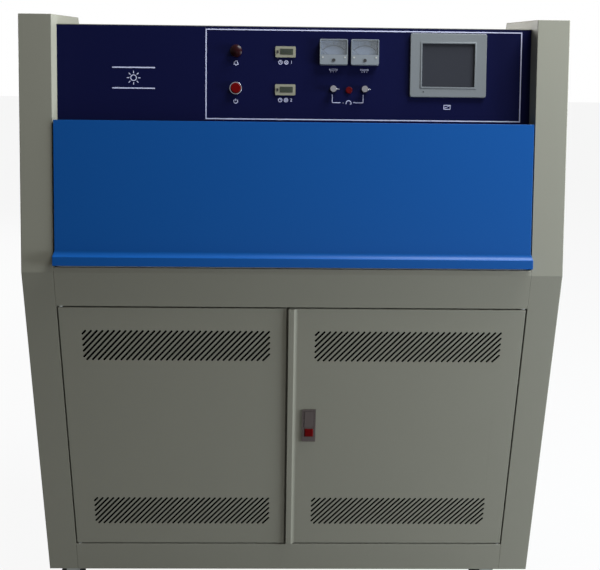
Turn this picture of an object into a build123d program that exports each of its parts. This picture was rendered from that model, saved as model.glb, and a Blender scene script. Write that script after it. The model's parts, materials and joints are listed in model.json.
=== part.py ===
from build123d import *
from math import atan2, cos, degrees, radians, sin, tan
import os

# Accelerated weathering chamber with ultraviolet lamps, in millimetres.
# The origin is on the floor under the middle of the machine: X to the right of a person
# in front, Y towards the back, Z up.

# Cabinet
WIDTH = 1300.0
DEPTH = 550.0
BODY_HEIGHT = 1428.0
CASTER_HEIGHT = 92.0
WAIST = 840.0
LEAN_BACK = 146.0
COLUMN = 77.0
SHEET = 1.5
BEND_RADIUS = 2.5
FLANGE = 30.0
BOTTOM_RAIL = 80.0
WAIST_RAIL = 84.0
MEMBER_WIDTH = 50.0
MEMBER_HEIGHT = 30.0
MEMBER_WALL = 3.0
TOP_RECESS = 22.4

# Front openings, measured along the leaning face and squarely inwards from it
SILL = 13.0
FRAME_DEPTH = 28.0
FRAME_HEIGHT = 329.0
WINDOW_SIDE = 28.0
WINDOW_BOTTOM = 27.0
WINDOW_TOP = 24.0
GASKET_WIDTH = 9.0
GASKET_OFFSET = 2.0
GASKET_GAP = 0.3

# Swing-up chamber doors
DOOR_GAP = 3.5
DOOR_PROUD = 3.0
DOOR_THICKNESS = 25.0
DOOR_BOTTOM = 16.8
DOOR_COVER = 18.5
DOOR_SHEET = 1.5
LIP_HEIGHT = 21.0
LIP_SLOPE = 14.8
LIP_REACH = 19.6
HINGE_COUNT = 3
HINGE_SPACING = 420.0
HINGE_DROP = 9.0
HINGE_BEHIND = 6.0
HINGE_PIN_R = 3.0
HINGE_PIN_LENGTH = 28.0
PIN_CLEARANCE = 0.08
EYE_R = 5.2
EAR_R = 6.0
EAR_ROOT = 2.5
TONGUE_WIDTH = 15.0
EAR_THICKNESS = 4.0
EAR_GAP = 0.4
LEAF_WIDTH = 60.0
LEAF_LENGTH = 13.0
LEAF_THICKNESS = 2.0
FOOT_WIDTH = 40.0
FOOT_LENGTH = 8.5
FOOT_THICKNESS = 3.0
FOOT_SETBACK = 7.2

# Control panel
PANEL_RECESS = 46.5
PANEL_ABOVE_DOOR = 8.6

# Cabinet doors below the waist
LOWER_GAP = 4.0
MEETING_X = -13.25
MEETING_GAP = 4.5
LOWER_SHEET = 1.2
LOWER_THICKNESS = 20.0
PIVOT_INSET = 6.0
PIVOT_PIN_R = 2.5
PIVOT_BOSS_R = 4.5
PIVOT_BOSS = 12.0
PIVOT_DISC_R = 5.5
PIVOT_DISC = 2.2
PIVOT_END_GAP = 1.0
BAND_WIDTH = 14.2
BAND_RAISE = 6.0
BAND_BEVEL = 9.9

# Slanted ventilation slots
VENT_WIDTH = 463.0
VENT_HEIGHT = 81.0
VENT_CENTRE_X = 286.0
VENT_UPPER = 654.0
VENT_LOWER = 183.5
SLOT_SPACING = 14.05
SLOT_WIDTH = 5.2
SLOT_ANGLE = 47.0

# Post behind the meeting edges, which carries the strike
POST_LEFT = 31.75
POST_RIGHT = 25.25
POST_RETURN = 3.25
POST_DEPTH = 24.5
POST_GAP = 0.5

# Flush latch
LATCH_X = 44.75
LATCH_HEIGHT = 436.8
LATCH_W = 34.5
LATCH_H = 90.2
LATCH_PROUD = 3.0
LATCH_RIM = 4.0
LATCH_SLEEVE = 20.0
LATCH_WALL = 2.0
LATCH_FIT = 0.3
LATCH_SPLIT = -5.0
LEVER_GAP = 0.6
LEVER_THICKNESS = 3.0
LEVER_PROUD = 3.5
LEVER_EDGE = 1.7
LEVER_PIN_R = 0.8
LEVER_PIN_EDGE = 1.8
LEVER_PIN_DEPTH = 0.5
TONGUE_ARM = 4.0
TONGUE_HEIGHT = 26.0
TONGUE_THICKNESS = 3.0
TONGUE_BEHIND = 1.3
STRIKE_GAP = 1.0
LATCH_BUTTON = 22.0
LATCH_BUTTON_Z = -19.4
LATCH_BUTTON_GAP = 0.45
LATCH_BUTTON_PROUD = 5.0
LATCH_BUTTON_LENGTH = 11.0

# Lamps
LAMP_R = 19.0
LAMP_WALL = 0.9
LAMP_END_ROOM = 50.3
LAMP_CAP = 15.0
LAMP_CAP_R = 19.3
LAMP_PIN_R = 1.2
LAMP_PIN = 7.0
LAMP_PIN_SPACING = 12.7
LAMPS_PER_BANK = 4
LAMP_SPACING = 75.0
LAMP_FIRST = 70.0
LAMP_DEPTH = 102.0
LAMP_HOLE_R = 23.0
GROMMET_BORE_R = 19.6
GROMMET_FLANGE_R = 26.0
GROMMET_FLANGE = 3.0
GROMMET_NECK = 6.0
SOCKET_DEPTH = 20.0
SOCKET_WIDTH = 34.0
SOCKET_HEIGHT = 52.0
SOCKET_STEP = 0.8
SOCKET_HOLE_GAP = 0.24
BRACKET_WIDTH = 56.0
BRACKET_END = 34.0

# Specimens
HOLDERS = 12
HOLDER_MARGIN = 33.0
HOLDER_GAP = 1.0
HOLDER_THICKNESS = 2.0
HOLDER_STILE = 13.5
HOLDER_BAR = 16.0
PANEL_SIDE_ROOM = 7.5
PANEL_SPACE = 3.0
PANEL_THICKNESS = 1.0
BLACK_PANEL_THICKNESS = 2.5
SENSOR_STEM_R = 6.0
SENSOR_STEM = 4.0
RACK_BASE = 18.5
RACK_TOP = 8.5
RACK_DEPTH = 8.5
RACK_LIP = 11.0

# Water pan and heater
PAN_CLEARANCE = 7.0
PAN_SIDE_CLEARANCE = 3.0
PAN_HEIGHT = 72.5
PAN_SHEET = 1.5
CHIMNEY_W = 84.0
CHIMNEY_D = 94.0
CHIMNEY_HEIGHT = 68.0
HEATER_R = 4.0
HEATER_LIFT = 22.0
HEATER_INSET = 103.0
HEATER_RUN = 590.0
HEATER_HALF_WIDTH = 120.0
HEATER_BEND = 24.0
HEATER_TAIL = 32.0
HEATER_NUT_R = 9.0
HEATER_NUT = 6.0

# Cabinet inside: blower, electrical plate, tank and pipes
BLOWER_INSET = 373.0
BLOWER_Y = 20.0
BLOWER_R = 90.0
BLOWER_LENGTH = 94.0
BLOWER_SHEET = 2.0
BLOWER_FOOT = 12.0
BLOWER_INLET_R = 46.0
BLOWER_NECK = 16.0
OUTLET_W = 84.0
IMPELLER_R = 66.0
IMPELLER_LENGTH = 60.0
IMPELLER_BLADES = 24
IMPELLER_BLADE_DEPTH = 12.0
IMPELLER_BLADE_WIDTH = 10.0
IMPELLER_BLADE = 1.5
IMPELLER_BLADE_ANGLE = 25.0
IMPELLER_HUB_R = 12.0
SHAFT_R = 5.0
SHAFT_END_GAP = 1.0
MOTOR_R = 48.0
MOTOR_LENGTH = 70.0
PLATE_BEHIND = 70.0
PLATE_SIDE = 68.0
PLATE_HEADROOM = 84.5
PLATE_SHEET = 2.0
PLATE_FOLD = 22.0
BALLAST_GAP = 15.0
BALLAST_HEIGHT = 42.0
BALLAST_DEPTH = 30.0
BALLAST_ROW = 70.0
BALLAST_DROP = 45.0
BALLAST_TAB = 10.0
RAIL_HEIGHT = 35.0
RAIL_DEPTH = 7.5
RAIL_INSET = 45.0
RAIL_DROP = (80.0, 190.0)
UNIT_DEPTH = 72.0
UNIT_HEIGHT = 84.0
UNIT_SHOULDER = 46.0
UNIT_WIDTHS = (36.0, 45.0, 45.0, 45.0, 70.0)
UNIT_GAP = 14.0
TERMINALS = 28
TERMINAL_SPACING = 10.0
TERMINAL_HEIGHT = 46.0
TERMINAL_DEPTH = 38.0
TERMINAL_GAP = 1.0
TANK_WIDTH = 320.0
TANK_DEPTH = 230.0
TANK_HEIGHT = 260.0
TANK_INSET = 243.0
TANK_Y = 30.0
TANK_WALL = 4.0
TANK_LID = 6.0
PIPE_R = 7.5
PIPE_WALL = 1.5
FILL_OFFSET = 30.0
FILL_DIP = 30.0
DRAIN_INSET = 103.0
PIPE_Y = 60.0

# Fittings under the floor
FITTING_HEX = 30.0
FITTING_HEX_HEIGHT = 8.0
BARB_R = 9.0
BARB_BORE_R = 6.5
BARB_LENGTH = 18.0
INLET_INSET = 173.0
GLAND_INSET = 103.0
GLAND_BEHIND = 125.0
GLAND_HEX = 33.0
GLAND_HEX_HEIGHT = 7.0
GLAND_DOME_R = 14.0
GLAND_DOME = 12.0
GLAND_BORE_R = 7.0

# Casters
CASTER_INSET_X = 74.0
CASTER_INSET_Y = 60.0
WHEEL_R = 32.5
WHEEL_WIDTH = 30.0
TREAD_ROUND = 4.0
HUB_R = 12.0
HUB_WIDTH = 34.0
WEB_WIDTH = 12.0
RIM_R = 24.0
TRAIL = 30.0
PLATE_SIZE = 88.0
PLATE_THICKNESS = 5.0
KINGPIN_R = 6.0
KINGPIN_HEAD_R = 9.0
KINGPIN_HEAD = 2.5
CROWN_R = 29.0
CROWN = 9.0
YOKE = 4.0
FORK_GAP = 0.3
FORK_ARM = 3.0
FORK_INSIDE = 35.0
ARM_END_R = 10.0
ARM_ROOT = (-42.0, 4.0)
AXLE_R = 4.0
AXLE_HEAD_R = 7.0
AXLE_HEAD = 4.5

# Things on the control panel: across from its middle, and up from its lower edge
BUZZER_AT = (-142.0, 166.6)
BUZZER_R = 14.5
BUZZER_SKIRT = 7.0
BUZZER_DOME = 6.0
POWER_AT = (-142.5, 77.9)
POWER_RING_R = 15.0
POWER_RING = 5.5
POWER_WEB = 1.0
POWER_CAP_R = 12.0
POWER_CAP = 6.0
POWER_CAP_LIFT = 4.4
POWER_CAP_ROUND = 1.5
POWER_STEM_R = 6.5
POWER_STEM = 14.0
MODULE_R = 11.0
MODULE_LENGTH = 32.0
HOUR_METER_X = -22.7
HOUR_METER_S = (166.0, 75.8)
HOUR_METER_W = 49.0
HOUR_METER_H = 26.0
HOUR_METER_FRONT = 3.0
HOUR_METER_BODY_W = 44.0
HOUR_METER_BODY_H = 21.6
HOUR_METER_BODY = 40.0
HOUR_METER_CORNER = 2.5
KEY_OFFSET = -19.0
KEY_W = 4.0
KEY_H = 6.0
KEY_GAP = 0.3
KEY_PROUD = 1.4
KEY_LENGTH = 3.2
KEY_POCKET = 3.4
METER_X = (93.4, 168.7)
METER_S = 165.7
METER_W = 67.0
METER_H = 60.0
METER_DEPTH = 12.0
METER_CORNER = 3.0
METER_BASE = 2.0
METER_WALL = 2.0
METER_BAND = 23.1
METER_BAND_THICKNESS = 2.0
METER_BARREL_R = 19.0
METER_BARREL = 26.0
METER_PIVOT = -20.1
DIAL_THICKNESS = 1.0
GLASS_THICKNESS = 1.5
NEEDLE_LENGTH = 39.0
NEEDLE_TAIL = 6.0
NEEDLE_WIDTH = 1.6
NEEDLE_TIP = 0.5
NEEDLE_THICKNESS = 0.6
NEEDLE_LIFT = 3.6
NEEDLE_HUB_R = 2.6
NEEDLE_HUB = 2.0
NEEDLE_REST = 45.0
NEEDLE_POST_R = 1.2
ZERO_SCREW_R = 3.7
ZERO_SCREW = 1.0
ZERO_SLOT = 1.0
ZERO_SLOT_ANGLE = 35.0
METER_SCREW_X = 26.6
METER_SCREW_DROP = 13.5
METER_SCREW_R = 1.9
METER_SCREW = 0.9
KNOB_X = (93.4, 169.4)
KNOB_S = 77.8
KNOB_R = 9.0
KNOB_TOP_R = 7.6
KNOB_LENGTH = 13.0
KNOB_LIFT = 0.5
KNOB_SHAFT_R = 3.0
KNOB_SHAFT = 16.0
KNOB_PIN_R = 1.3
KNOB_PIN = 5.5
KNOB_HOLE_R = 3.4
POT_R = 8.5
POT_LENGTH = 14.0
POT_BORE_R = 3.06
RESET_AT = (131.8, 76.5)
RESET_R = 8.0
RESET_PROUD = 4.0
RESET_LENGTH = 16.0
RESET_HOLE_R = 8.3
HMI_AT = (371.4, 137.6)
HMI_W = 185.3
HMI_H = 151.9
HMI_FRONT = 6.0
HMI_CORNER = 5.0
HMI_BODY_W = 172.0
HMI_BODY_H = 138.0
HMI_BODY = 34.0
HMI_WALL = 2.0
SCREEN_W = 127.6
SCREEN_H = 103.7
SCREEN_DEPTH = 2.0

# Rear panel and screws
SCREW_R = 4.0
SCREW_HEAD = 1.6
SCREW_SPACING = 270.0
SCREW_INSET = 14.0

# Worked out from the sizes above
FRONT = -DEPTH / 2
BASE_Z = CASTER_HEIGHT
WAIST_Z = BASE_Z + WAIST
TOP_Z = BASE_Z + BODY_HEIGHT
INNER_X = WIDTH / 2 - COLUMN
LEAN = atan2(LEAN_BACK, BODY_HEIGHT - WAIST)
FACE = Plane(
    origin=(0, FRONT, WAIST_Z), x_dir=(1, 0, 0), z_dir=(0, -cos(LEAN), sin(LEAN))
)
FRAME_TOP = SILL + FRAME_HEIGHT
LAMP_LENGTH = WIDTH - 2 * LAMP_END_ROOM
HOLDER_SPACING = 2 * (INNER_X - HOLDER_MARGIN) / HOLDERS
HOLDER_LENGTH = FRAME_HEIGHT - RACK_BASE - RACK_TOP
HOLDER_WINDOW_W = HOLDER_SPACING - 2 * HOLDER_STILE
HOLDER_WINDOW_H = HOLDER_LENGTH / 2 - HOLDER_BAR
PANEL_W = HOLDER_SPACING - 2 * PANEL_SIDE_ROOM
PANEL_H = HOLDER_LENGTH / 2 - PANEL_SPACE
BLACK_PANEL_PLACE = HOLDERS // 2
FLOOR_Z = BASE_Z + MEMBER_HEIGHT
FLOOR_TOP = FLOOR_Z + SHEET
RAIL_BOTTOM_Z = WAIST_Z - WAIST_RAIL
COVER_Z = TOP_Z - TOP_RECESS
DOOR_TOP = FRAME_TOP + DOOR_COVER
PANEL_BASE = DOOR_TOP + PANEL_ABOVE_DOOR
DOOR_BACK = DOOR_THICKNESS - DOOR_PROUD
DOOR_HALF = INNER_X - DOOR_GAP
HINGE_S = DOOR_TOP - HINGE_DROP
HINGE_D = DOOR_BACK + HINGE_BEHIND
LOWER_BOTTOM = BASE_Z + BOTTOM_RAIL + LOWER_GAP
LOWER_TOP = RAIL_BOTTOM_Z - DOOR_GAP
PIVOT_X = INNER_X - DOOR_GAP - PIVOT_INSET
PIVOT_Y = FRONT + PIVOT_INSET
LATCH_Z = BASE_Z + LATCH_HEIGHT
STRIKE_X = MEETING_X + POST_RIGHT
PAN_BOTTOM = RAIL_BOTTOM_Z + SHEET
PAN_HALF_X = INNER_X - PAN_SIDE_CLEARANCE
PAN_HALF_Y = DEPTH / 2 - PAN_CLEARANCE
HEATER_START = -INNER_X + HEATER_INSET
HEATER_END = HEATER_START + HEATER_RUN
BLOWER_X = INNER_X - BLOWER_INSET
BLOWER_Z = FLOOR_TOP + BLOWER_FOOT + BLOWER_R
BLOWER_NECK_Z = BLOWER_Z + BLOWER_R + BLOWER_NECK
DUCT_X = BLOWER_X + BLOWER_R - OUTLET_W / 2
PLATE_Y = DEPTH / 2 - PLATE_BEHIND
PLATE_HALF = INNER_X - PLATE_SIDE
PLATE_HEIGHT = RAIL_BOTTOM_Z - FLOOR_TOP - PLATE_HEADROOM
BALLAST_LENGTH = (PLATE_HALF - 3 * BALLAST_GAP) / 2
RAIL_ENDS = (-PLATE_HALF + RAIL_INSET, -RAIL_INSET)
TANK_X = -INNER_X + TANK_INSET
FILL_X = TANK_X + FILL_OFFSET
DRAIN_X = INNER_X - DRAIN_INSET
INLET_X = INNER_X - INLET_INSET
GLAND_X = -INNER_X + GLAND_INSET
GLAND_Y = DEPTH / 2 - GLAND_BEHIND
CASTER_X = WIDTH / 2 - CASTER_INSET_X
CASTER_Y = DEPTH / 2 - CASTER_INSET_Y


def lean_point(s, d=0.0):
    """Y and Z of a point s up the leaning face and d squarely inside it."""
    return (
        FRONT + s * sin(LEAN) + d * cos(LEAN),
        WAIST_Z + s * cos(LEAN) - d * sin(LEAN),
    )


ROOF_Z = lean_point(FRAME_TOP, FRAME_DEPTH)[1]
ROOF_HALF = -lean_point(FRAME_TOP, FRAME_DEPTH)[0]
ROOF_TOP = ROOF_Z + SHEET
PANEL_LOW = (ROOF_TOP - WAIST_Z + (PANEL_RECESS + SHEET) * sin(LEAN)) / cos(LEAN)
PANEL_HIGH = (COVER_Z - WAIST_Z + PANEL_RECESS * sin(LEAN)) / cos(LEAN)
PANEL_FACE = FACE * Pos(0, PANEL_BASE, -PANEL_RECESS)


def block(x, y, z):
    """Box between a pair of limits on each axis."""
    size = Box(x[1] - x[0], y[1] - y[0], z[1] - z[0])
    return Pos((x[0] + x[1]) / 2, (y[0] + y[1]) / 2, (z[0] + z[1]) / 2) * size


def either_side(half):
    """Limits of something centred on zero."""
    return (-half, half)


def x_rod(x, y, z, radius):
    """Cylinder along X between two limits."""
    return Pos((x[0] + x[1]) / 2, y, z) * Rot(0, 90, 0) * Cylinder(radius, x[1] - x[0])


def y_rod(x, y, z, radius):
    """Cylinder along Y between two limits."""
    return Pos(x, (y[0] + y[1]) / 2, z) * Rot(90, 0, 0) * Cylinder(radius, y[1] - y[0])


def z_rod(x, y, z, radius):
    """Cylinder along Z between two limits."""
    return Pos(x, y, (z[0] + z[1]) / 2) * Cylinder(radius, z[1] - z[0])


def bar(points, x):
    """Prism along X between two limits, with its section as (Y, Z) points."""
    section = Plane.YZ * make_face(Polyline(*points, close=True))
    return Pos(x[0], 0, 0) * extrude(section, x[1] - x[0])


def plate_on(place, width, height, thickness, corner):
    """Rounded plate standing on a place's XY plane."""
    return place * extrude(RectangleRounded(width, height, corner), thickness)


def turned(shapes):
    """The same things on the rear side of the machine."""
    return [Rot(0, 0, 180) * shape for shape in shapes]


def front_and_rear(shapes):
    """Things at the front with their twins at the rear."""
    return list(shapes) + turned(shapes)


def on_panel(at, lift=0.0):
    """Place on the control panel's face, X across, Y up it and Z out of it."""
    return PANEL_FACE * Pos(at[0], at[1], lift)


# Cabinet


def body_profile(inset=0.0):
    """Side view of the body, drawn in by a sheet where asked."""
    half = DEPTH / 2
    outline = make_face(
        Polyline(
            (-half, BASE_Z),
            (-half, WAIST_Z),
            (-half + LEAN_BACK, TOP_Z),
            (half - LEAN_BACK, TOP_Z),
            (half, WAIST_Z),
            (half, BASE_Z),
            close=True,
        )
    )
    if inset:
        outline = offset(outline, -inset, kind=Kind.INTERSECTION)
    return Plane.YZ * outline


def side_cover():
    """Right side housing: outer skin with flanges turned in all round."""
    cover = extrude(body_profile(), COLUMN)
    cover -= extrude(body_profile(SHEET), COLUMN - SHEET)
    outer_edges = cover.edges().filter_by_position(Axis.X, COLUMN, COLUMN)
    cover = fillet(outer_edges, BEND_RADIUS)
    return Pos(INNER_X, 0, 0) * cover


def lamp_centres():
    """Y and Z of the front bank's lamps."""
    stations = [LAMP_FIRST + LAMP_SPACING * i for i in range(LAMPS_PER_BANK)]
    return [lean_point(station, LAMP_DEPTH) for station in stations]


def inner_wall():
    """Right inner wall, with a hole for each lamp's end."""
    wall = Pos(INNER_X, 0, 0) * extrude(body_profile(SHEET), SHEET)
    reach = (INNER_X - SHEET, INNER_X + 2 * SHEET)
    for y, z in lamp_centres():
        wall -= x_rod(reach, y, z, LAMP_HOLE_R)
        wall -= x_rod(reach, -y, z, LAMP_HOLE_R)
    return wall


def bottom_rail():
    """Front rail under the doors, a channel open to the inside."""
    top = BASE_Z + BOTTOM_RAIL
    section = [
        (FRONT, BASE_Z),
        (FRONT, top),
        (FRONT + FLANGE, top),
        (FRONT + FLANGE, top - SHEET),
        (FRONT + SHEET, top - SHEET),
        (FRONT + SHEET, BASE_Z + SHEET),
        (FRONT + FLANGE, BASE_Z + SHEET),
        (FRONT + FLANGE, BASE_Z),
    ]
    return bar(section, either_side(INNER_X))


def caster_member():
    """Right channel from front to back, over the casters."""
    outer = INNER_X - MEMBER_WALL
    reach = DEPTH / 2 - SHEET
    member = block((outer - MEMBER_WIDTH, outer), either_side(reach), (BASE_Z, FLOOR_Z))
    hollow_x = (outer - MEMBER_WIDTH + MEMBER_WALL, outer - MEMBER_WALL)
    member -= block(hollow_x, either_side(reach), (BASE_Z + MEMBER_WALL, FLOOR_Z))
    return member


def base_frame():
    """Welded frame, and the cabinet's floor lying on it."""
    member = caster_member()
    frame = bottom_rail() + turned([bottom_rail()])[0] + member + turned([member])[0]
    floor = block(
        either_side(INNER_X),
        either_side(DEPTH / 2 - SHEET),
        (FLOOR_Z, FLOOR_TOP),
    )
    for x in (DRAIN_X, INLET_X):
        floor -= z_rod(x, PIPE_Y, (FLOOR_Z - SHEET, FLOOR_TOP + SHEET), BARB_BORE_R)
    floor -= z_rod(
        GLAND_X, GLAND_Y, (FLOOR_Z - SHEET, FLOOR_TOP + SHEET), GLAND_BORE_R
    )
    return [frame, floor]


def waist_rail():
    """Front rail between the lower doors and the chamber, folded back to the sill."""
    inner_bend = SHEET * tan(LEAN / 2)
    section = [
        (FRONT + FLANGE, RAIL_BOTTOM_Z),
        (FRONT, RAIL_BOTTOM_Z),
        (FRONT, WAIST_Z),
        lean_point(SILL),
        lean_point(SILL, FRAME_DEPTH + SHEET),
        lean_point(SILL - SHEET, FRAME_DEPTH + SHEET),
        lean_point(SILL - SHEET, SHEET),
        lean_point(inner_bend, SHEET),
        (FRONT + SHEET, RAIL_BOTTOM_Z + SHEET),
        (FRONT + FLANGE, RAIL_BOTTOM_Z + SHEET),
    ]
    return bar(section, either_side(INNER_X))


def door_post():
    """Post behind the meeting edges; its right edge is the latch's strike."""
    face_y = FRONT + LOWER_THICKNESS + POST_GAP
    height = (BASE_Z + BOTTOM_RAIL, RAIL_BOTTOM_Z)
    left = MEETING_X - POST_LEFT
    right = MEETING_X + POST_RETURN
    post = block((left, STRIKE_X), (face_y, face_y + SHEET), height)
    for x in (left, right):
        post += block((x, x + SHEET), (face_y, face_y + POST_DEPTH), height)
    return post


def cabinet_rails():
    return front_and_rear([waist_rail()]) + [door_post()]


def slot_line(start, stop):
    """Round-ended slot between two points."""
    run = (stop[0] - start[0], stop[1] - start[1])
    length = (run[0] ** 2 + run[1] ** 2) ** 0.5
    angle = degrees(atan2(run[1], run[0]))
    centre = ((start[0] + stop[0]) / 2, (start[1] + stop[1]) / 2)
    return Pos(*centre) * SlotCenterToCenter(length, SLOT_WIDTH, rotation=angle)


def vent_group(x, z):
    """Slanted slots that fill a rectangle, cut short by its sides."""
    half_w = (VENT_WIDTH - SLOT_WIDTH) / 2
    half_h = (VENT_HEIGHT - SLOT_WIDTH) / 2
    slope = tan(radians(SLOT_ANGLE))
    span = 2 * half_h / slope
    first = -int(span / SLOT_SPACING)
    last = int(2 * half_w / SLOT_SPACING)
    slots = []
    for i in range(first, last):
        foot = -half_w + SLOT_SPACING * (i + 0.5)
        low = max(foot, -half_w)
        high = min(foot + span, half_w)
        start = (low, -half_h + (low - foot) * slope)
        stop = (high, -half_h + (high - foot) * slope)
        slots.append(Pos(x, z) * slot_line(start, stop))
    return slots


def vents(centre_x):
    """Upper and lower slots of one door, as faces looking to the front."""
    return [
        slot
        for height in (VENT_UPPER, VENT_LOWER)
        for slot in vent_group(centre_x, BASE_Z + height)
    ]


def vent_cutter(centre_x, depth):
    """Prisms that cut one door's slots."""
    plane = Plane(
        origin=(0, FRONT + depth, 0), x_dir=(1, 0, 0), z_dir=(0, -1, 0)
    )
    return extrude(plane * Sketch(children=vents(centre_x)), 2 * depth)


def rear_panels():
    """Lower access panel and the plain upper panel of the rear side."""
    width = either_side(INNER_X - DOOR_GAP)
    sheet = block(width, (FRONT, FRONT + SHEET), (LOWER_BOTTOM, LOWER_TOP))
    for x in (-VENT_CENTRE_X, VENT_CENTRE_X):
        sheet -= vent_cutter(x, 2 * SHEET)
    edge = (FRONT + SHEET, FRONT + LOWER_THICKNESS)
    for low, high in ((LOWER_BOTTOM, LOWER_BOTTOM + SHEET), (LOWER_TOP - SHEET, LOWER_TOP)):
        sheet += block(width, edge, (low, high))
    upper = FACE * block(
        either_side(INNER_X),
        (PANEL_LOW, PANEL_HIGH),
        (-PANEL_RECESS - SHEET, -PANEL_RECESS),
    )
    tabs = []
    for x in (-INNER_X + SCREW_INSET, INNER_X - SCREW_INSET):
        side = 1 if x > 0 else -1
        reach = sorted((side * INNER_X, side * (INNER_X - 2 * SCREW_INSET)))
        y = (FRONT + LOWER_THICKNESS, FRONT + LOWER_THICKNESS + SHEET)
        tabs.append(block(reach, y, (LOWER_BOTTOM, LOWER_TOP)))
    return turned([sheet, upper] + tabs)


def top_cover():
    """Lid of the control compartment, set down between the side housings."""
    half = -lean_point(PANEL_HIGH, PANEL_RECESS)[0]
    return block(either_side(INNER_X), either_side(half), (COVER_Z, COVER_Z + SHEET))


def chamber_roof():
    """Sheet between the chamber and the control compartment."""
    return block(either_side(INNER_X), either_side(ROOF_HALF), (ROOF_Z, ROOF_TOP))


def opening_frame():
    """Front frame that the specimens stand behind."""
    outside = FACE * block(
        either_side(INNER_X), (SILL, FRAME_TOP), (-FRAME_DEPTH - SHEET, -FRAME_DEPTH)
    )
    window = FACE * block(
        either_side(INNER_X - WINDOW_SIDE),
        (SILL + WINDOW_BOTTOM, FRAME_TOP - WINDOW_TOP),
        (-FRAME_DEPTH - 2 * SHEET, -FRAME_DEPTH + SHEET),
    )
    return outside - window


def gasket():
    """Seal round the front window, just short of the closed door."""
    inside_x = INNER_X - WINDOW_SIDE + GASKET_OFFSET
    low = SILL + WINDOW_BOTTOM - GASKET_OFFSET
    high = FRAME_TOP - WINDOW_TOP + GASKET_OFFSET
    depth = (-FRAME_DEPTH, -DOOR_BACK - GASKET_GAP)
    ring = block(
        either_side(inside_x + GASKET_WIDTH),
        (low - GASKET_WIDTH, high + GASKET_WIDTH),
        depth,
    )
    ring -= block(either_side(inside_x), (low, high), depth)
    return FACE * ring


def lamp_grommet(y, z):
    """Seal round a lamp in the right inner wall."""
    ring = x_rod((INNER_X - GROMMET_FLANGE, INNER_X), y, z, GROMMET_FLANGE_R)
    ring += x_rod((INNER_X, INNER_X + GROMMET_NECK), y, z, LAMP_HOLE_R)
    reach = (INNER_X - 2 * GROMMET_FLANGE, INNER_X + 2 * GROMMET_NECK)
    return ring - x_rod(reach, y, z, GROMMET_BORE_R)


def both_ends(shape):
    """A lamp end's thing at the right, and its twin on the left."""
    return [shape, mirror(shape, Plane.YZ)]


def chamber_seals():
    seals = [gasket()]
    for y, z in lamp_centres():
        seals += both_ends(lamp_grommet(y, z))
    return front_and_rear(seals)


# Lamps


def uv_lamps():
    """Tubes with their end caps and contact pins."""
    lamps = []
    glass_half = LAMP_LENGTH / 2 - LAMP_CAP
    for y, z in lamp_centres():
        glass = x_rod(either_side(glass_half), y, z, LAMP_R)
        lamps.append(glass - x_rod(either_side(glass_half), y, z, LAMP_R - LAMP_WALL))
        cap = x_rod((glass_half, LAMP_LENGTH / 2), y, z, LAMP_CAP_R)
        for side in (-1, 1):
            pin_z = z + side * LAMP_PIN_SPACING / 2
            reach = (LAMP_LENGTH / 2, LAMP_LENGTH / 2 + LAMP_PIN)
            cap += x_rod(reach, y, pin_z, LAMP_PIN_R)
        lamps += both_ends(cap)
    return front_and_rear(lamps)


def lamp_socket(y, z):
    """Right socket, with two holes that take a lamp's pins."""
    inner = LAMP_LENGTH / 2 + SOCKET_STEP
    reach = (inner, inner + SOCKET_DEPTH)
    width = (y - SOCKET_WIDTH / 2, y + SOCKET_WIDTH / 2)
    foot = SOCKET_HEIGHT - SOCKET_WIDTH / 2
    socket = block(reach, width, (z - foot, z)) + x_rod(reach, y, z, SOCKET_WIDTH / 2)
    for side in (-1, 1):
        pin_z = z + side * LAMP_PIN_SPACING / 2
        hole = (inner, inner + LAMP_PIN)
        socket -= x_rod(hole, y, pin_z, LAMP_PIN_R + SOCKET_HOLE_GAP)
    return socket


def socket_bracket():
    """Right front bracket, a strip on two feet that stands on the inner wall."""
    face_x = LAMP_LENGTH / 2 + SOCKET_STEP + SOCKET_DEPTH
    low = LAMP_FIRST - SOCKET_HEIGHT
    high = LAMP_FIRST + LAMP_SPACING * (LAMPS_PER_BANK - 1) + BRACKET_END
    depth = (-LAMP_DEPTH - BRACKET_WIDTH / 2, -LAMP_DEPTH + BRACKET_WIDTH / 2)
    strip = block((face_x, face_x + SHEET), (low, high), depth)
    for s in (low, high - SHEET):
        strip += block((INNER_X + SHEET, face_x), (s, s + SHEET), depth)
    return FACE * strip


def lamp_sockets():
    parts = both_ends(socket_bracket())
    for y, z in lamp_centres():
        parts += both_ends(lamp_socket(y, z))
    return front_and_rear(parts)


# Specimens


def rack_rails():
    """Lower and upper rail that the front holders stand in."""
    inside = -FRAME_DEPTH - SHEET
    back = (inside - RACK_DEPTH, inside)
    lip = (inside - RACK_DEPTH, inside - RACK_DEPTH + SHEET)
    width = either_side(INNER_X - SHEET)
    low = SILL + RACK_BASE
    high = low + HOLDER_LENGTH
    lower = block(width, (low - SHEET, low), back)
    lower += block(width, (low, low + RACK_LIP), lip)
    upper = block(width, (high, high + SHEET), back)
    upper += block(width, (high - RACK_LIP, high), lip)
    return [FACE * lower, FACE * upper]


def holder_places():
    """Middles of the holders across the machine."""
    return [(i - (HOLDERS - 1) / 2) * HOLDER_SPACING for i in range(HOLDERS)]


def window_stations():
    """Heights of a holder's two windows on the leaning face."""
    middle = SILL + RACK_BASE + HOLDER_LENGTH / 2
    return (middle - HOLDER_LENGTH / 4, middle + HOLDER_LENGTH / 4)


def holder(x):
    """Frame with two windows."""
    front = -FRAME_DEPTH - SHEET
    half = (HOLDER_SPACING - HOLDER_GAP) / 2
    low = SILL + RACK_BASE
    depth = (front - HOLDER_THICKNESS, front)
    frame = block((x - half, x + half), (low, low + HOLDER_LENGTH), depth)
    for s in window_stations():
        opening = (s - HOLDER_WINDOW_H / 2, s + HOLDER_WINDOW_H / 2)
        frame -= block((x - HOLDER_WINDOW_W / 2, x + HOLDER_WINDOW_W / 2), opening, depth)
    return FACE * frame


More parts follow.
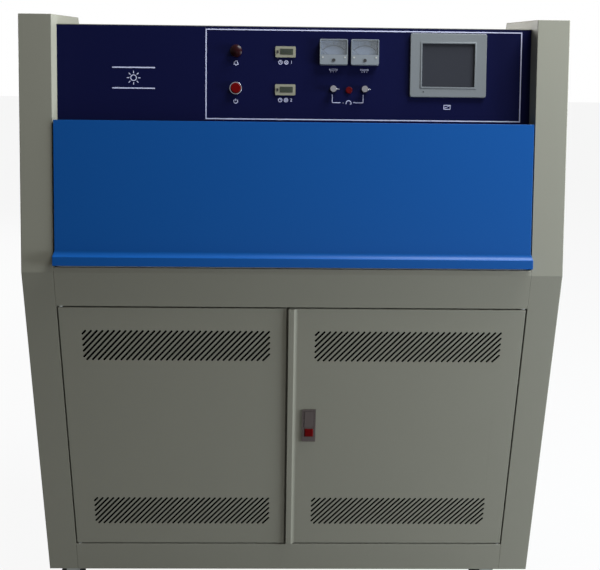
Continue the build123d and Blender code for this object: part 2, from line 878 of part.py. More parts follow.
def specimen(x, s, thickness):
    """Flat panel behind a holder's window."""
    front = -FRAME_DEPTH - SHEET - HOLDER_THICKNESS
    return FACE * block(
        (x - PANEL_W / 2, x + PANEL_W / 2),
        (s - PANEL_H / 2, s + PANEL_H / 2),
        (front - thickness, front),
    )


def specimen_holders():
    """Front and rear holders with their specimens; one place takes the sensor."""
    front = []
    rear = []
    for place, x in enumerate(holder_places()):
        for number, s in enumerate(window_stations()):
            panel = specimen(x, s, PANEL_THICKNESS)
            rear.append(panel)
            if (place, number) != (BLACK_PANEL_PLACE, 1):
                front.append(panel)
        front.append(holder(x))
        rear.append(holder(x))
    return front + turned(rear)


def chamber_sensors():
    """Black-panel thermometer with its stem."""
    x = holder_places()[BLACK_PANEL_PLACE]
    s = window_stations()[1]
    panel = specimen(x, s, BLACK_PANEL_THICKNESS)
    back = -FRAME_DEPTH - SHEET - HOLDER_THICKNESS - BLACK_PANEL_THICKNESS
    stem = FACE * Pos(x, s, back - SENSOR_STEM / 2) * Cylinder(SENSOR_STEM_R, SENSOR_STEM)
    return [panel + stem]


# Water pan


def water_pan():
    """Pan on the waist rails, and the chimney that the air comes up through."""
    pan = block(
        either_side(PAN_HALF_X),
        either_side(PAN_HALF_Y),
        (PAN_BOTTOM, PAN_BOTTOM + PAN_HEIGHT),
    )
    pan -= block(
        either_side(PAN_HALF_X - PAN_SHEET),
        either_side(PAN_HALF_Y - PAN_SHEET),
        (PAN_BOTTOM + PAN_SHEET, PAN_BOTTOM + PAN_HEIGHT),
    )
    half_w = CHIMNEY_W / 2
    half_d = CHIMNEY_D / 2
    centre = Pos(DUCT_X, BLOWER_Y, 0)
    height = (PAN_BOTTOM, PAN_BOTTOM + CHIMNEY_HEIGHT)
    passage = centre * block(
        either_side(half_w - PAN_SHEET), either_side(half_d - PAN_SHEET), height
    )
    pan -= passage
    standing = (PAN_BOTTOM + PAN_SHEET, PAN_BOTTOM + CHIMNEY_HEIGHT)
    chimney = centre * block(either_side(half_w), either_side(half_d), standing)
    for x in (FILL_X, DRAIN_X):
        hole_z = (PAN_BOTTOM - PAN_SHEET, PAN_BOTTOM + 2 * PAN_SHEET)
        pan -= z_rod(x, PIPE_Y, hole_z, PIPE_R - PIPE_WALL)
    for y in either_side(HEATER_HALF_WIDTH):
        hole_z = (PAN_BOTTOM - PAN_SHEET, PAN_BOTTOM + 2 * PAN_SHEET)
        pan -= z_rod(HEATER_START, y, hole_z, HEATER_R)
    return [pan, chimney - passage]


def pan_heater():
    """Heating rod in a long loop, both tails down through the pan."""
    low = PAN_BOTTOM - HEATER_TAIL
    level = PAN_BOTTOM + HEATER_LIFT
    half = HEATER_HALF_WIDTH
    path = FilletPolyline(
        (HEATER_START, -half, low),
        (HEATER_START, -half, level),
        (HEATER_END, -half, level),
        (HEATER_END, half, level),
        (HEATER_START, half, level),
        (HEATER_START, half, low),
        radius=[HEATER_LIFT / 2, HEATER_BEND, HEATER_BEND, HEATER_LIFT / 2],
    )
    section = Plane(origin=path @ 0, z_dir=path % 0) * Circle(HEATER_R)
    parts = [sweep(section, path=path)]
    for y in either_side(half):
        nut = z_rod(HEATER_START, y, (PAN_BOTTOM - HEATER_NUT, PAN_BOTTOM), HEATER_NUT_R)
        parts.append(nut - z_rod(HEATER_START, y, (low, level), HEATER_R))
    return parts


# Swing-up doors


def lip_section(inset):
    """Handle lip's outline, as points along the face and out of it."""
    root = DOOR_BOTTOM + LIP_HEIGHT + LIP_SLOPE
    corner = DOOR_BOTTOM + LIP_HEIGHT
    slope = atan2(LIP_REACH, LIP_SLOPE)
    return [
        (DOOR_BOTTOM, DOOR_PROUD),
        (DOOR_BOTTOM, DOOR_PROUD + LIP_REACH - inset),
        (corner - inset * tan(slope / 2), DOOR_PROUD + LIP_REACH - inset),
        (root - inset / sin(slope), DOOR_PROUD),
    ]


def door_shell():
    """Folded outer skin of a chamber door, with the lip that it is lifted by."""
    sheet = DOOR_SHEET
    skin = block(
        either_side(DOOR_HALF), (DOOR_BOTTOM, DOOR_TOP), (-DOOR_BACK, DOOR_PROUD)
    )
    skin -= block(
        either_side(DOOR_HALF - sheet),
        (DOOR_BOTTOM + sheet, DOOR_TOP - sheet),
        (-DOOR_BACK, DOOR_PROUD - sheet),
    )
    lip = bar(lip_section(0.0), either_side(DOOR_HALF))
    lip -= bar(lip_section(sheet), either_side(DOOR_HALF - sheet))
    return FACE * (skin + lip)


def door_liner():
    """Flat inner sheet that closes the door's back."""
    sheet = DOOR_SHEET
    return FACE * block(
        either_side(DOOR_HALF - sheet),
        (DOOR_BOTTOM + sheet, DOOR_TOP - sheet),
        (-DOOR_BACK, -DOOR_BACK + sheet),
    )


def hinge_places():
    return [(i - (HINGE_COUNT - 1) / 2) * HINGE_SPACING for i in range(HINGE_COUNT)]


def hinge_leaf(x):
    """Leaf on the door's liner, with two ears round the pin."""
    low = HINGE_S - EAR_R - LEAF_LENGTH
    back = -DOOR_BACK
    leaf = block(
        (x - LEAF_WIDTH / 2, x + LEAF_WIDTH / 2),
        (low, low + LEAF_LENGTH),
        (back - LEAF_THICKNESS, back),
    )
    root = Rectangle(2 * EAR_R + EAR_ROOT, LEAF_THICKNESS)
    root = Pos(HINGE_S - EAR_ROOT / 2, back - LEAF_THICKNESS / 2) * root
    eye = Pos(HINGE_S, -HINGE_D) * Circle(EAR_R)
    ear = extrude(Plane.YZ * make_hull(root.edges() + eye.edges()), EAR_THICKNESS)
    inner = TONGUE_WIDTH / 2 + EAR_GAP
    for left in (x - inner - EAR_THICKNESS, x + inner):
        leaf += Pos(left, 0, 0) * ear
    leaf -= x_rod(
        (x - LEAF_WIDTH / 2, x + LEAF_WIDTH / 2),
        HINGE_S,
        -HINGE_D,
        HINGE_PIN_R + PIN_CLEARANCE,
    )
    return FACE * leaf


def chamber_door():
    return [door_shell(), door_liner()] + [hinge_leaf(x) for x in hinge_places()]


def hinge_bracket(x):
    """Foot on the roof's ledge, and the eye that holds the pin."""
    pivot_y, pivot_z = lean_point(HINGE_S, HINGE_D)
    foot_y = (pivot_y + FOOT_SETBACK, pivot_y + FOOT_SETBACK + FOOT_LENGTH)
    foot_z = (ROOF_TOP, ROOF_TOP + FOOT_THICKNESS)
    centre = Pos((foot_y[0] + foot_y[1]) / 2, (foot_z[0] + foot_z[1]) / 2)
    heel = centre * Rectangle(foot_y[1] - foot_y[0], FOOT_THICKNESS)
    eye = Pos(pivot_y, pivot_z) * Circle(EYE_R)
    arm = make_hull(heel.edges() + eye.edges())
    half = TONGUE_WIDTH / 2
    bracket = Pos(x - half, 0, 0) * extrude(Plane.YZ * arm, TONGUE_WIDTH)
    bracket += block((x - FOOT_WIDTH / 2, x + FOOT_WIDTH / 2), foot_y, foot_z)
    reach = (x - half, x + half)
    return bracket - x_rod(reach, pivot_y, pivot_z, HINGE_PIN_R)


def hinge_pin(x):
    pivot_y, pivot_z = lean_point(HINGE_S, HINGE_D)
    half = HINGE_PIN_LENGTH / 2
    return x_rod((x - half, x + half), pivot_y, pivot_z, HINGE_PIN_R)


def hinge_brackets():
    front = []
    for x in hinge_places():
        front += [hinge_bracket(x), hinge_pin(x)]
    return front_and_rear(front)


# Lower doors


def door_plan(left, right, front, back, raised, shift):
    """Plan view of a lower door, with a raised band at its left edge where asked."""
    points = [(left, back)]
    if raised:
        band = MEETING_X + MEETING_GAP / 2 + BAND_WIDTH - shift
        points += [(left, front - BAND_RAISE), (band, front - BAND_RAISE)]
        points += [(band + BAND_BEVEL, front)]
    else:
        points += [(left, front)]
    points += [(right, front), (right, back)]
    return make_face(Polyline(*points, close=True))


def lower_door(left, right, hinge_x, raised):
    """Folded door with slots and a boss round each pivot."""
    sheet = LOWER_SHEET
    back = FRONT + LOWER_THICKNESS
    shift = sheet * tan(atan2(BAND_RAISE, BAND_BEVEL) / 2)
    outer = door_plan(left, right, FRONT, back, raised, 0.0)
    inner = door_plan(
        left + sheet, right - sheet, FRONT + sheet, back + sheet, raised, shift
    )
    door = Pos(0, 0, LOWER_BOTTOM) * extrude(outer, LOWER_TOP - LOWER_BOTTOM)
    door -= Pos(0, 0, LOWER_BOTTOM + sheet) * extrude(
        inner, LOWER_TOP - LOWER_BOTTOM - 2 * sheet
    )
    door -= vent_cutter(VENT_CENTRE_X if hinge_x > 0 else -VENT_CENTRE_X, 2 * sheet)
    for low, high in (
        (LOWER_BOTTOM, LOWER_BOTTOM + PIVOT_BOSS),
        (LOWER_TOP - PIVOT_BOSS, LOWER_TOP),
    ):
        door += z_rod(hinge_x, PIVOT_Y, (low, high), PIVOT_BOSS_R)
        door -= z_rod(hinge_x, PIVOT_Y, (low, high), PIVOT_PIN_R + PIN_CLEARANCE)
    return door


def left_cabinet_door():
    right = MEETING_X - MEETING_GAP / 2
    return lower_door(-INNER_X + DOOR_GAP, right, -PIVOT_X, False)


def right_cabinet_door():
    left = MEETING_X + MEETING_GAP / 2
    door = lower_door(left, INNER_X - DOOR_GAP, PIVOT_X, True)
    half_w = LATCH_W / 2 - LATCH_RIM + LATCH_WALL + LATCH_FIT
    half_h = LATCH_H / 2 - LATCH_RIM + LATCH_WALL + LATCH_FIT
    return door - block(
        (LATCH_X - half_w, LATCH_X + half_w),
        (FRONT - SHEET, FRONT + 2 * SHEET),
        (LATCH_Z - half_h, LATCH_Z + half_h),
    )


def cabinet_door_pivots():
    """Pins on the rails, with a disc that keeps each door off its rail."""
    pivots = []
    low = BASE_Z + BOTTOM_RAIL
    for x in either_side(PIVOT_X):
        lower = z_rod(x, PIVOT_Y, (low, low + PIVOT_DISC), PIVOT_DISC_R)
        pin_z = (low, LOWER_BOTTOM + PIVOT_BOSS - PIVOT_END_GAP)
        lower += z_rod(x, PIVOT_Y, pin_z, PIVOT_PIN_R)
        upper_z = (RAIL_BOTTOM_Z - PIVOT_DISC, RAIL_BOTTOM_Z)
        upper = z_rod(x, PIVOT_Y, upper_z, PIVOT_DISC_R)
        pin_z = (LOWER_TOP - PIVOT_BOSS + PIVOT_END_GAP, RAIL_BOTTOM_Z)
        upper += z_rod(x, PIVOT_Y, pin_z, PIVOT_PIN_R)
        pivots += [lower, upper]
    return pivots


# Latch, in its own frame: X across, Y inwards from the door's face, Z up


LATCH_PLACE = Pos(LATCH_X, FRONT, LATCH_Z)
LATCH_HALF_W = LATCH_W / 2 - LATCH_RIM
LATCH_HALF_H = LATCH_H / 2 - LATCH_RIM
LEVER_PIVOT = -LATCH_HALF_W + LEVER_EDGE + LEVER_PIN_EDGE
LEVER_PIVOT_Y = -LEVER_PROUD + LEVER_THICKNESS - LEVER_PIN_DEPTH


def latch_body():
    """Rim and sleeve, with the plate round the button and the lever's pin."""
    body = block(
        either_side(LATCH_W / 2), (-LATCH_PROUD, 0), either_side(LATCH_H / 2)
    )
    body += block(
        either_side(LATCH_HALF_W + LATCH_WALL),
        (0, LATCH_SLEEVE),
        either_side(LATCH_HALF_H + LATCH_WALL),
    )
    body -= block(
        either_side(LATCH_HALF_W),
        (-LATCH_PROUD, LATCH_SLEEVE),
        (LATCH_SPLIT, LATCH_HALF_H),
    )
    body -= block(
        either_side(LATCH_HALF_W),
        (0, LATCH_SLEEVE),
        (-LATCH_HALF_H, LATCH_SPLIT - LATCH_WALL),
    )
    half = LATCH_BUTTON / 2 + LATCH_BUTTON_GAP
    button_z = (LATCH_BUTTON_Z - half, LATCH_BUTTON_Z + half)
    body -= block(either_side(half), (-LATCH_PROUD, 0), button_z)
    pin_z = (LATCH_SPLIT - LATCH_WALL / 2, LATCH_HALF_H + LATCH_WALL / 2)
    body += z_rod(LEVER_PIVOT, LEVER_PIVOT_Y, pin_z, LEVER_PIN_R)
    return LATCH_PLACE * body


def latch_lever():
    """Flush handle, whose arm carries the tongue behind the door."""
    z = (LATCH_SPLIT + LEVER_GAP, LATCH_HALF_H - LEVER_GAP)
    left = -LATCH_HALF_W + LEVER_EDGE
    back = -LEVER_PROUD + LEVER_THICKNESS
    lever = block((left, LATCH_HALF_W - LEVER_GAP), (-LEVER_PROUD, back), z)
    middle = (z[0] + z[1]) / 2
    tall = (middle - TONGUE_HEIGHT / 2, middle + TONGUE_HEIGHT / 2)
    tip_y = LOWER_THICKNESS + POST_GAP + SHEET + TONGUE_BEHIND
    arm_x = (LEVER_PIVOT, LEVER_PIVOT + TONGUE_ARM)
    lever += block(arm_x, (back, tip_y + TONGUE_THICKNESS), tall)
    tip_x = STRIKE_X + STRIKE_GAP - LATCH_X
    lever += block((tip_x, arm_x[1]), (tip_y, tip_y + TONGUE_THICKNESS), tall)
    hole = z_rod(LEVER_PIVOT, LEVER_PIVOT_Y, z, LEVER_PIN_R + PIN_CLEARANCE)
    return LATCH_PLACE * (lever - hole)


def latch_button():
    half = LATCH_BUTTON / 2
    y = (-LATCH_BUTTON_PROUD, LATCH_BUTTON_LENGTH - LATCH_BUTTON_PROUD)
    z = (LATCH_BUTTON_Z - half, LATCH_BUTTON_Z + half)
    return LATCH_PLACE * block(either_side(half), y, z)


# Things on the control panel


def control_panel():
    """Front sheet of the control compartment, with its cut-outs."""
    sheet = FACE * block(
        either_side(INNER_X),
        (PANEL_LOW, PANEL_HIGH),
        (-PANEL_RECESS - SHEET, -PANEL_RECESS),
    )
    through = 4 * SHEET
    for at in (BUZZER_AT, POWER_AT):
        sheet -= on_panel(at) * Cylinder(MODULE_R, through)
    for s in HOUR_METER_S:
        cut = Box(HOUR_METER_BODY_W, HOUR_METER_BODY_H, through)
        sheet -= on_panel((HOUR_METER_X, s)) * cut
    for x in METER_X:
        sheet -= on_panel((x, METER_S)) * Cylinder(METER_BARREL_R, through)
    for x in KNOB_X:
        sheet -= on_panel((x, KNOB_S)) * Cylinder(KNOB_HOLE_R, through)
    sheet -= on_panel(RESET_AT) * Cylinder(RESET_HOLE_R, through)
    sheet -= on_panel(HMI_AT) * Box(HMI_BODY_W, HMI_BODY_H, through)
    return sheet


def panel_rod(at, low, high, radius):
    """Round piece square to the panel, between two heights above its face."""
    return on_panel(at, (low + high) / 2) * Cylinder(radius, high - low)


def buzzer():
    """Domed sounder, with its body behind the panel."""
    skirt = panel_rod(BUZZER_AT, 0, BUZZER_SKIRT, BUZZER_R)
    ball = (BUZZER_R**2 + BUZZER_DOME**2) / (2 * BUZZER_DOME)
    dome = on_panel(BUZZER_AT, BUZZER_SKIRT + BUZZER_DOME - ball) * Sphere(ball)
    dome &= panel_rod(BUZZER_AT, 0, BUZZER_SKIRT + BUZZER_DOME, BUZZER_R)
    body = panel_rod(BUZZER_AT, -MODULE_LENGTH, 0, MODULE_R)
    return skirt + dome + body


def power_bezel():
    """Ring and barrel that the power button slides in."""
    ring = panel_rod(POWER_AT, 0, POWER_RING, POWER_RING_R)
    ring += panel_rod(POWER_AT, -MODULE_LENGTH, 0, MODULE_R)
    ring -= panel_rod(POWER_AT, POWER_WEB, POWER_RING, POWER_CAP_R + KEY_GAP)
    return ring - panel_rod(
        POWER_AT, -MODULE_LENGTH, POWER_WEB, POWER_STEM_R + KEY_GAP
    )


def power_button():
    cap = panel_rod(POWER_AT, POWER_CAP_LIFT, POWER_CAP_LIFT + POWER_CAP, POWER_CAP_R)
    cap = fillet(cap.edges().sort_by(Axis((0, 0, 0), FACE.z_dir))[-1], POWER_CAP_ROUND)
    return cap + panel_rod(POWER_AT, -POWER_STEM, POWER_CAP_LIFT, POWER_STEM_R)


def hour_meter(s):
    at = (HOUR_METER_X, s)
    front = plate_on(
        on_panel(at), HOUR_METER_W, HOUR_METER_H, HOUR_METER_FRONT, HOUR_METER_CORNER
    )
    body = on_panel(at, -HOUR_METER_BODY / 2) * Box(
        HOUR_METER_BODY_W, HOUR_METER_BODY_H, HOUR_METER_BODY
    )
    pocket = on_panel((HOUR_METER_X + KEY_OFFSET, s), HOUR_METER_FRONT) * Box(
        KEY_W + 2 * KEY_GAP, KEY_H + 2 * KEY_GAP, 2 * KEY_POCKET
    )
    return front + body - pocket


def hour_meter_key(s):
    """Small key that sets an hour meter back to zero."""
    low = HOUR_METER_FRONT + KEY_PROUD - KEY_LENGTH
    at = (HOUR_METER_X + KEY_OFFSET, s)
    return on_panel(at, low + KEY_LENGTH / 2) * Box(KEY_W, KEY_H, KEY_LENGTH)


def meter_case(x):
    """Tray with a cross-band over the movement, and a barrel through the panel."""
    at = (x, METER_S)
    case = plate_on(on_panel(at), METER_W, METER_H, METER_DEPTH, METER_CORNER)
    cavity = plate_on(
        on_panel(at, METER_BASE),
        METER_W - 2 * METER_WALL,
        METER_H - 2 * METER_WALL,
        METER_DEPTH,
        METER_CORNER - METER_WALL / 2,
    )
    case -= cavity
    band_s = METER_S - METER_H / 2 + METER_BAND / 2
    band = on_panel((x, band_s), METER_DEPTH - METER_BAND_THICKNESS / 2) * Box(
        METER_W - METER_WALL, METER_BAND, METER_BAND_THICKNESS
    )
    keep = plate_on(on_panel(at), METER_W, METER_H, METER_DEPTH, METER_CORNER)
    barrel = panel_rod(at, -METER_BARREL, METER_BASE, METER_BARREL_R)
    return case + (band & keep) + barrel


def zero_screw(x):
    """Slotted disc on the band, over the needle's pivot."""
    at = (x, METER_S + METER_PIVOT)
    disc = panel_rod(at, METER_DEPTH, METER_DEPTH + ZERO_SCREW, ZERO_SCREW_R)
    slot = on_panel(at, METER_DEPTH + ZERO_SCREW) * Rot(0, 0, ZERO_SLOT_ANGLE) * Box(
        2 * ZERO_SCREW_R, ZERO_SLOT, ZERO_SCREW
    )
    return disc - slot


def meter_cases():
    return [piece for x in METER_X for piece in (meter_case(x), zero_screw(x))]


def meter_dial(x):
    """Scale plate with the post that the needle turns over."""
    low = METER_BASE
    dial = plate_on(
        on_panel((x, METER_S), low),
        METER_W - 2 * METER_WALL,
        METER_H - 2 * METER_WALL,
        DIAL_THICKNESS,
        METER_CORNER - METER_WALL / 2,
    )
    top = low + NEEDLE_LIFT - NEEDLE_HUB / 2 - KEY_GAP
    return dial + panel_rod((x, METER_S + METER_PIVOT), low, top, NEEDLE_POST_R)


def meter_window(x):
    """Clear pane above the band."""
    high = METER_S + METER_H / 2 - METER_WALL
    low = METER_S - METER_H / 2 + METER_BAND
    place = on_panel((x, (low + high) / 2), METER_DEPTH - GLASS_THICKNESS)
    width = METER_W - 2 * METER_WALL
    return plate_on(place, width, high - low, GLASS_THICKNESS, METER_CORNER - METER_WALL / 2)


def meter_needle(x):
    """Needle on its hub, resting at the scale's left end."""
    blade = make_face(
        Polyline(
            (-NEEDLE_WIDTH / 2, -NEEDLE_TAIL),
            (NEEDLE_WIDTH / 2, -NEEDLE_TAIL),
            (NEEDLE_TIP / 2, NEEDLE_LENGTH),
            (-NEEDLE_TIP / 2, NEEDLE_LENGTH),
            close=True,
        )
    )
    needle = Pos(0, 0, -NEEDLE_THICKNESS / 2) * extrude(blade, NEEDLE_THICKNESS)
    needle += Cylinder(NEEDLE_HUB_R, NEEDLE_HUB)
    lift = METER_BASE + NEEDLE_LIFT
    return on_panel((x, METER_S + METER_PIVOT), lift) * Rot(0, 0, NEEDLE_REST) * needle


def knob(x):
    """Turned knob with a pointer pin to the right, on its shaft."""
    at = (x, KNOB_S)
    body = on_panel(at, KNOB_LIFT) * extrude(
        Circle(KNOB_R), KNOB_LENGTH, taper=degrees(atan2(KNOB_R - KNOB_TOP_R, KNOB_LENGTH))
    )
    body += panel_rod(at, -KNOB_SHAFT, KNOB_LIFT, KNOB_SHAFT_R)
    pin_lift = KNOB_LIFT + KNOB_LENGTH / 2
    pin = x_rod((0, KNOB_R + KNOB_PIN), 0, 0, KNOB_PIN_R)
    return body + on_panel(at, pin_lift) * pin


def panel_switches():
    """Bodies behind the panel, which carry the knobs' shafts and the reset button."""
    pots = []
    for x in KNOB_X:
        low = -SHEET - POT_LENGTH
        pot = panel_rod((x, KNOB_S), low, -SHEET, POT_R)
        pots.append(pot - panel_rod((x, KNOB_S), low, -SHEET, POT_BORE_R))
    at = RESET_AT
    sleeve = panel_rod(at, -SHEET - RESET_LENGTH, -SHEET, RESET_HOLE_R + METER_WALL)
    sleeve -= panel_rod(at, -SHEET - RESET_LENGTH, -SHEET, RESET_HOLE_R)
    return pots + [sleeve]


def reset_button():
    return panel_rod(
        RESET_AT, RESET_PROUD - RESET_LENGTH, RESET_PROUD, RESET_R
    )


def touchscreen_bezel():
    """Touchscreen's rim, and its case behind the panel."""
    bezel = plate_on(on_panel(HMI_AT), HMI_W, HMI_H, HMI_FRONT, HMI_CORNER)
    bezel += on_panel(HMI_AT, -HMI_BODY / 2) * Box(HMI_BODY_W, HMI_BODY_H, HMI_BODY)
    hollow = on_panel(HMI_AT, -HMI_BODY / 2 + HMI_WALL / 2) * Box(
        HMI_BODY_W - 2 * HMI_WALL, HMI_BODY_H - 2 * HMI_WALL, HMI_BODY - HMI_WALL
    )
    window = on_panel(HMI_AT, HMI_FRONT / 2) * Box(SCREEN_W, SCREEN_H, HMI_FRONT)
    return bezel - hollow - window


def touchscreen_glass():
    """Screen pane, set back in the rim."""
    place = on_panel(HMI_AT, HMI_FRONT / 2 - SCREEN_DEPTH)
    return place * Box(SCREEN_W, SCREEN_H, HMI_FRONT - SCREEN_DEPTH)


def meter_screws():
    """Two small screws on each meter's band."""
    screws = []
    for x in METER_X:
        for side in (-1, 1):
            at = (x + side * METER_SCREW_X, METER_S - METER_SCREW_DROP)
            screws.append(
                panel_rod(at, METER_DEPTH, METER_DEPTH + METER_SCREW, METER_SCREW_R)
            )
    return screws


def rear_screws():
    """Screw heads on the rear access panel."""
    screws = []
    span = (INNER_X - DOOR_GAP) - SCREW_INSET
    for z in (LOWER_BOTTOM + SCREW_INSET, LOWER_TOP - SCREW_INSET):
        for x in either_side(span):
            screws.append(y_rod(x, (FRONT - SCREW_HEAD, FRONT), z, SCREW_R))
        for x in either_side(SCREW_SPACING):
            screws.append(y_rod(x, (FRONT - SCREW_HEAD, FRONT), z, SCREW_R))
    return turned(screws)


# Blower


def blower_section(inset):
    """Round drum with its outlet rising at the right."""
    drum = Pos(BLOWER_X, BLOWER_Z) * Circle(BLOWER_R - inset)
    top = BLOWER_NECK_Z + inset
    half = OUTLET_W / 2 - inset
    outlet = Pos(DUCT_X, (BLOWER_Z + top) / 2) * Rectangle(2 * half, top - BLOWER_Z)
    return Plane.XZ * (drum + outlet)


def blower_duct():
    """Square duct from the blower's neck up to the pan."""
    half_w = OUTLET_W / 2
    half_d = BLOWER_LENGTH / 2
    height = (BLOWER_NECK_Z, PAN_BOTTOM)
    duct = block(either_side(half_w), either_side(half_d), height)
    duct -= block(
        either_side(half_w - BLOWER_SHEET), either_side(half_d - BLOWER_SHEET), height
    )
    return Pos(DUCT_X, BLOWER_Y, 0) * duct


def blower_housing():
    """Folded drum with its duct above, the motor behind and a foot under it."""
    half = BLOWER_LENGTH / 2
    shell = Pos(0, BLOWER_Y + half, 0) * extrude(blower_section(0), BLOWER_LENGTH)
    hollow = blower_section(BLOWER_SHEET)
    inside = BLOWER_LENGTH - 2 * BLOWER_SHEET
    shell -= Pos(0, BLOWER_Y + inside / 2, 0) * extrude(hollow, inside)
    reach = (BLOWER_Y - half - BLOWER_SHEET, BLOWER_Y)
    shell -= y_rod(BLOWER_X, reach, BLOWER_Z, BLOWER_INLET_R)
    back = BLOWER_Y + half
    bore = (back - 2 * BLOWER_SHEET, back)
    shell -= y_rod(BLOWER_X, bore, BLOWER_Z, 2 * SHAFT_R)
    foot = block(
        either_side(BLOWER_R / 2), either_side(half), (FLOOR_TOP, BLOWER_Z - BLOWER_R / 2)
    )
    foot = Pos(BLOWER_X, BLOWER_Y, 0) * foot
    foot -= y_rod(BLOWER_X, either_side(DEPTH / 2), BLOWER_Z, BLOWER_R)
    motor = y_rod(BLOWER_X, (back, back + MOTOR_LENGTH), BLOWER_Z, MOTOR_R)
    motor -= y_rod(BLOWER_X, (back, back + MOTOR_LENGTH / 2), BLOWER_Z, SHAFT_R + PIN_CLEARANCE)
    return [shell, blower_duct(), foot, motor]


def blower_wheel():
    """Wheel of forward blades between a back disc and a front ring, on its shaft."""
    half = IMPELLER_LENGTH / 2
    y = (BLOWER_Y - half, BLOWER_Y + half)
    disc = y_rod(BLOWER_X, (y[1] - 2 * BLOWER_SHEET, y[1]), BLOWER_Z, IMPELLER_R)
    ring = y_rod(BLOWER_X, (y[0], y[0] + 2 * BLOWER_SHEET), BLOWER_Z, IMPELLER_R)
    bore_r = IMPELLER_R - IMPELLER_BLADE_DEPTH
    ring -= y_rod(BLOWER_X, (y[0], y[0] + 2 * BLOWER_SHEET), BLOWER_Z, bore_r)
    hub_y = (BLOWER_Y - half / 2, BLOWER_Y + half)
    wheel = disc + ring + y_rod(BLOWER_X, hub_y, BLOWER_Z, IMPELLER_HUB_R)
    for i in range(IMPELLER_BLADES):
        middle = IMPELLER_R - IMPELLER_BLADE_DEPTH / 2
        blade = Pos(middle, 0, 0) * Rot(0, IMPELLER_BLADE_ANGLE, 0) * Box(
            IMPELLER_BLADE_WIDTH, IMPELLER_LENGTH - BLOWER_SHEET, IMPELLER_BLADE
        )
        turn = Rot(0, 360 * i / IMPELLER_BLADES, 0)
        wheel += Pos(BLOWER_X, BLOWER_Y, BLOWER_Z) * turn * blade
    end = BLOWER_Y + BLOWER_LENGTH / 2 + MOTOR_LENGTH / 2 - SHAFT_END_GAP
    return wheel + y_rod(BLOWER_X, (BLOWER_Y, end), BLOWER_Z, SHAFT_R)


# Electrical plate


def electrical_plate():
    """Folded plate standing on the floor at the back, with two rails."""
    half = PLATE_HALF
    z = (FLOOR_TOP, FLOOR_TOP + PLATE_HEIGHT)
    plate = block(either_side(half), (PLATE_Y, PLATE_Y + PLATE_SHEET), z)
    fold = (PLATE_Y, PLATE_Y + PLATE_FOLD)
    plate += block(either_side(half), fold, (z[0], z[0] + PLATE_SHEET))
    for x in ((-half, -half + PLATE_SHEET), (half - PLATE_SHEET, half)):
        plate += block(x, fold, z)
    parts = [plate]
    for drop in RAIL_DROP:
        middle = FLOOR_TOP + PLATE_HEIGHT - drop
        y = (PLATE_Y - RAIL_DEPTH, PLATE_Y)
        height = (middle - RAIL_HEIGHT / 2, middle + RAIL_HEIGHT / 2)
        parts.append(block(RAIL_ENDS, y, height))
    return parts


def ballasts():
    """One lamp ballast per lamp, in two columns."""
    units = []
    half = BALLAST_LENGTH / 2
    for left in (BALLAST_GAP, 2 * BALLAST_GAP + BALLAST_LENGTH):
        for row in range(LAMPS_PER_BANK):
            x = left + half
            z = FLOOR_TOP + PLATE_HEIGHT - BALLAST_DROP - row * BALLAST_ROW
            case_x = (x - half + BALLAST_TAB, x + half - BALLAST_TAB)
            case_z = (z - BALLAST_HEIGHT / 2, z + BALLAST_HEIGHT / 2)
            unit = block(case_x, (PLATE_Y - BALLAST_DEPTH, PLATE_Y), case_z)
            unit += block((x - half, x + half), (PLATE_Y - PLATE_SHEET, PLATE_Y), case_z)
            unit -= block(
                (case_x[0] + SHEET, case_x[1] - SHEET),
                (PLATE_Y - BALLAST_DEPTH + SHEET, PLATE_Y),
                (case_z[0] + SHEET, case_z[1] - SHEET),
            )
            units.append(unit)
    return units


def switch_unit(x, width, z):
    """Breaker or contactor with a stepped front."""
    y = PLATE_Y - RAIL_DEPTH
    half = UNIT_HEIGHT / 2
    unit = block((x, x + width), (y - UNIT_SHOULDER, y), (z - half, z + half))
    nose = block((x, x + width), (y - UNIT_DEPTH, y), (z - half / 2, z + half / 2))
    return unit + nose


def switchgear():
    """Breaker, contactors and heater relay on the upper rail; terminals below."""
    parts = []
    plate_top = FLOOR_TOP + PLATE_HEIGHT
    x = RAIL_ENDS[0] + UNIT_GAP
    for width in UNIT_WIDTHS:
        parts.append(switch_unit(x, width, plate_top - RAIL_DROP[0]))
        x += width + UNIT_GAP
    y = PLATE_Y - RAIL_DEPTH
    z = plate_top - RAIL_DROP[1]
    length = TERMINALS * TERMINAL_SPACING
    left = (RAIL_ENDS[0] + RAIL_ENDS[1] - length) / 2
    strip = block(
        (left, left + length),
        (y - TERMINAL_DEPTH, y),
        (z - TERMINAL_HEIGHT / 2, z + TERMINAL_HEIGHT / 2),
    )
    for i in range(1, TERMINALS):
        cut = left + i * TERMINAL_SPACING
        strip -= block(
            (cut - TERMINAL_GAP / 2, cut + TERMINAL_GAP / 2),
            (y - TERMINAL_DEPTH, y - TERMINAL_DEPTH / 2),
            (z - TERMINAL_HEIGHT / 2, z + TERMINAL_HEIGHT / 2),
        )
    return parts + [strip]


def water_tank():
    """Feed tank standing on the floor, with its lid."""
    place = Pos(TANK_X, TANK_Y, FLOOR_TOP)
    half_w = TANK_WIDTH / 2
    half_d = TANK_DEPTH / 2
    tank = block(either_side(half_w), either_side(half_d), (0, TANK_HEIGHT))
    tank -= block(
        either_side(half_w - TANK_WALL), either_side(half_d - TANK_WALL), (TANK_WALL, TANK_HEIGHT)
    )
    lid = block(
        either_side(half_w + TANK_WALL),
        either_side(half_d + TANK_WALL),
        (TANK_HEIGHT, TANK_HEIGHT + TANK_LID),
    )
    lid -= Pos(FILL_X - TANK_X, PIPE_Y - TANK_Y, TANK_HEIGHT) * Cylinder(PIPE_R, 4 * TANK_LID)
    return [place * tank, place * lid]


def tube(x, y, z, outer, inner):
    """Upright pipe between two heights."""
    return z_rod(x, y, z, outer) - z_rod(x, y, z, inner)


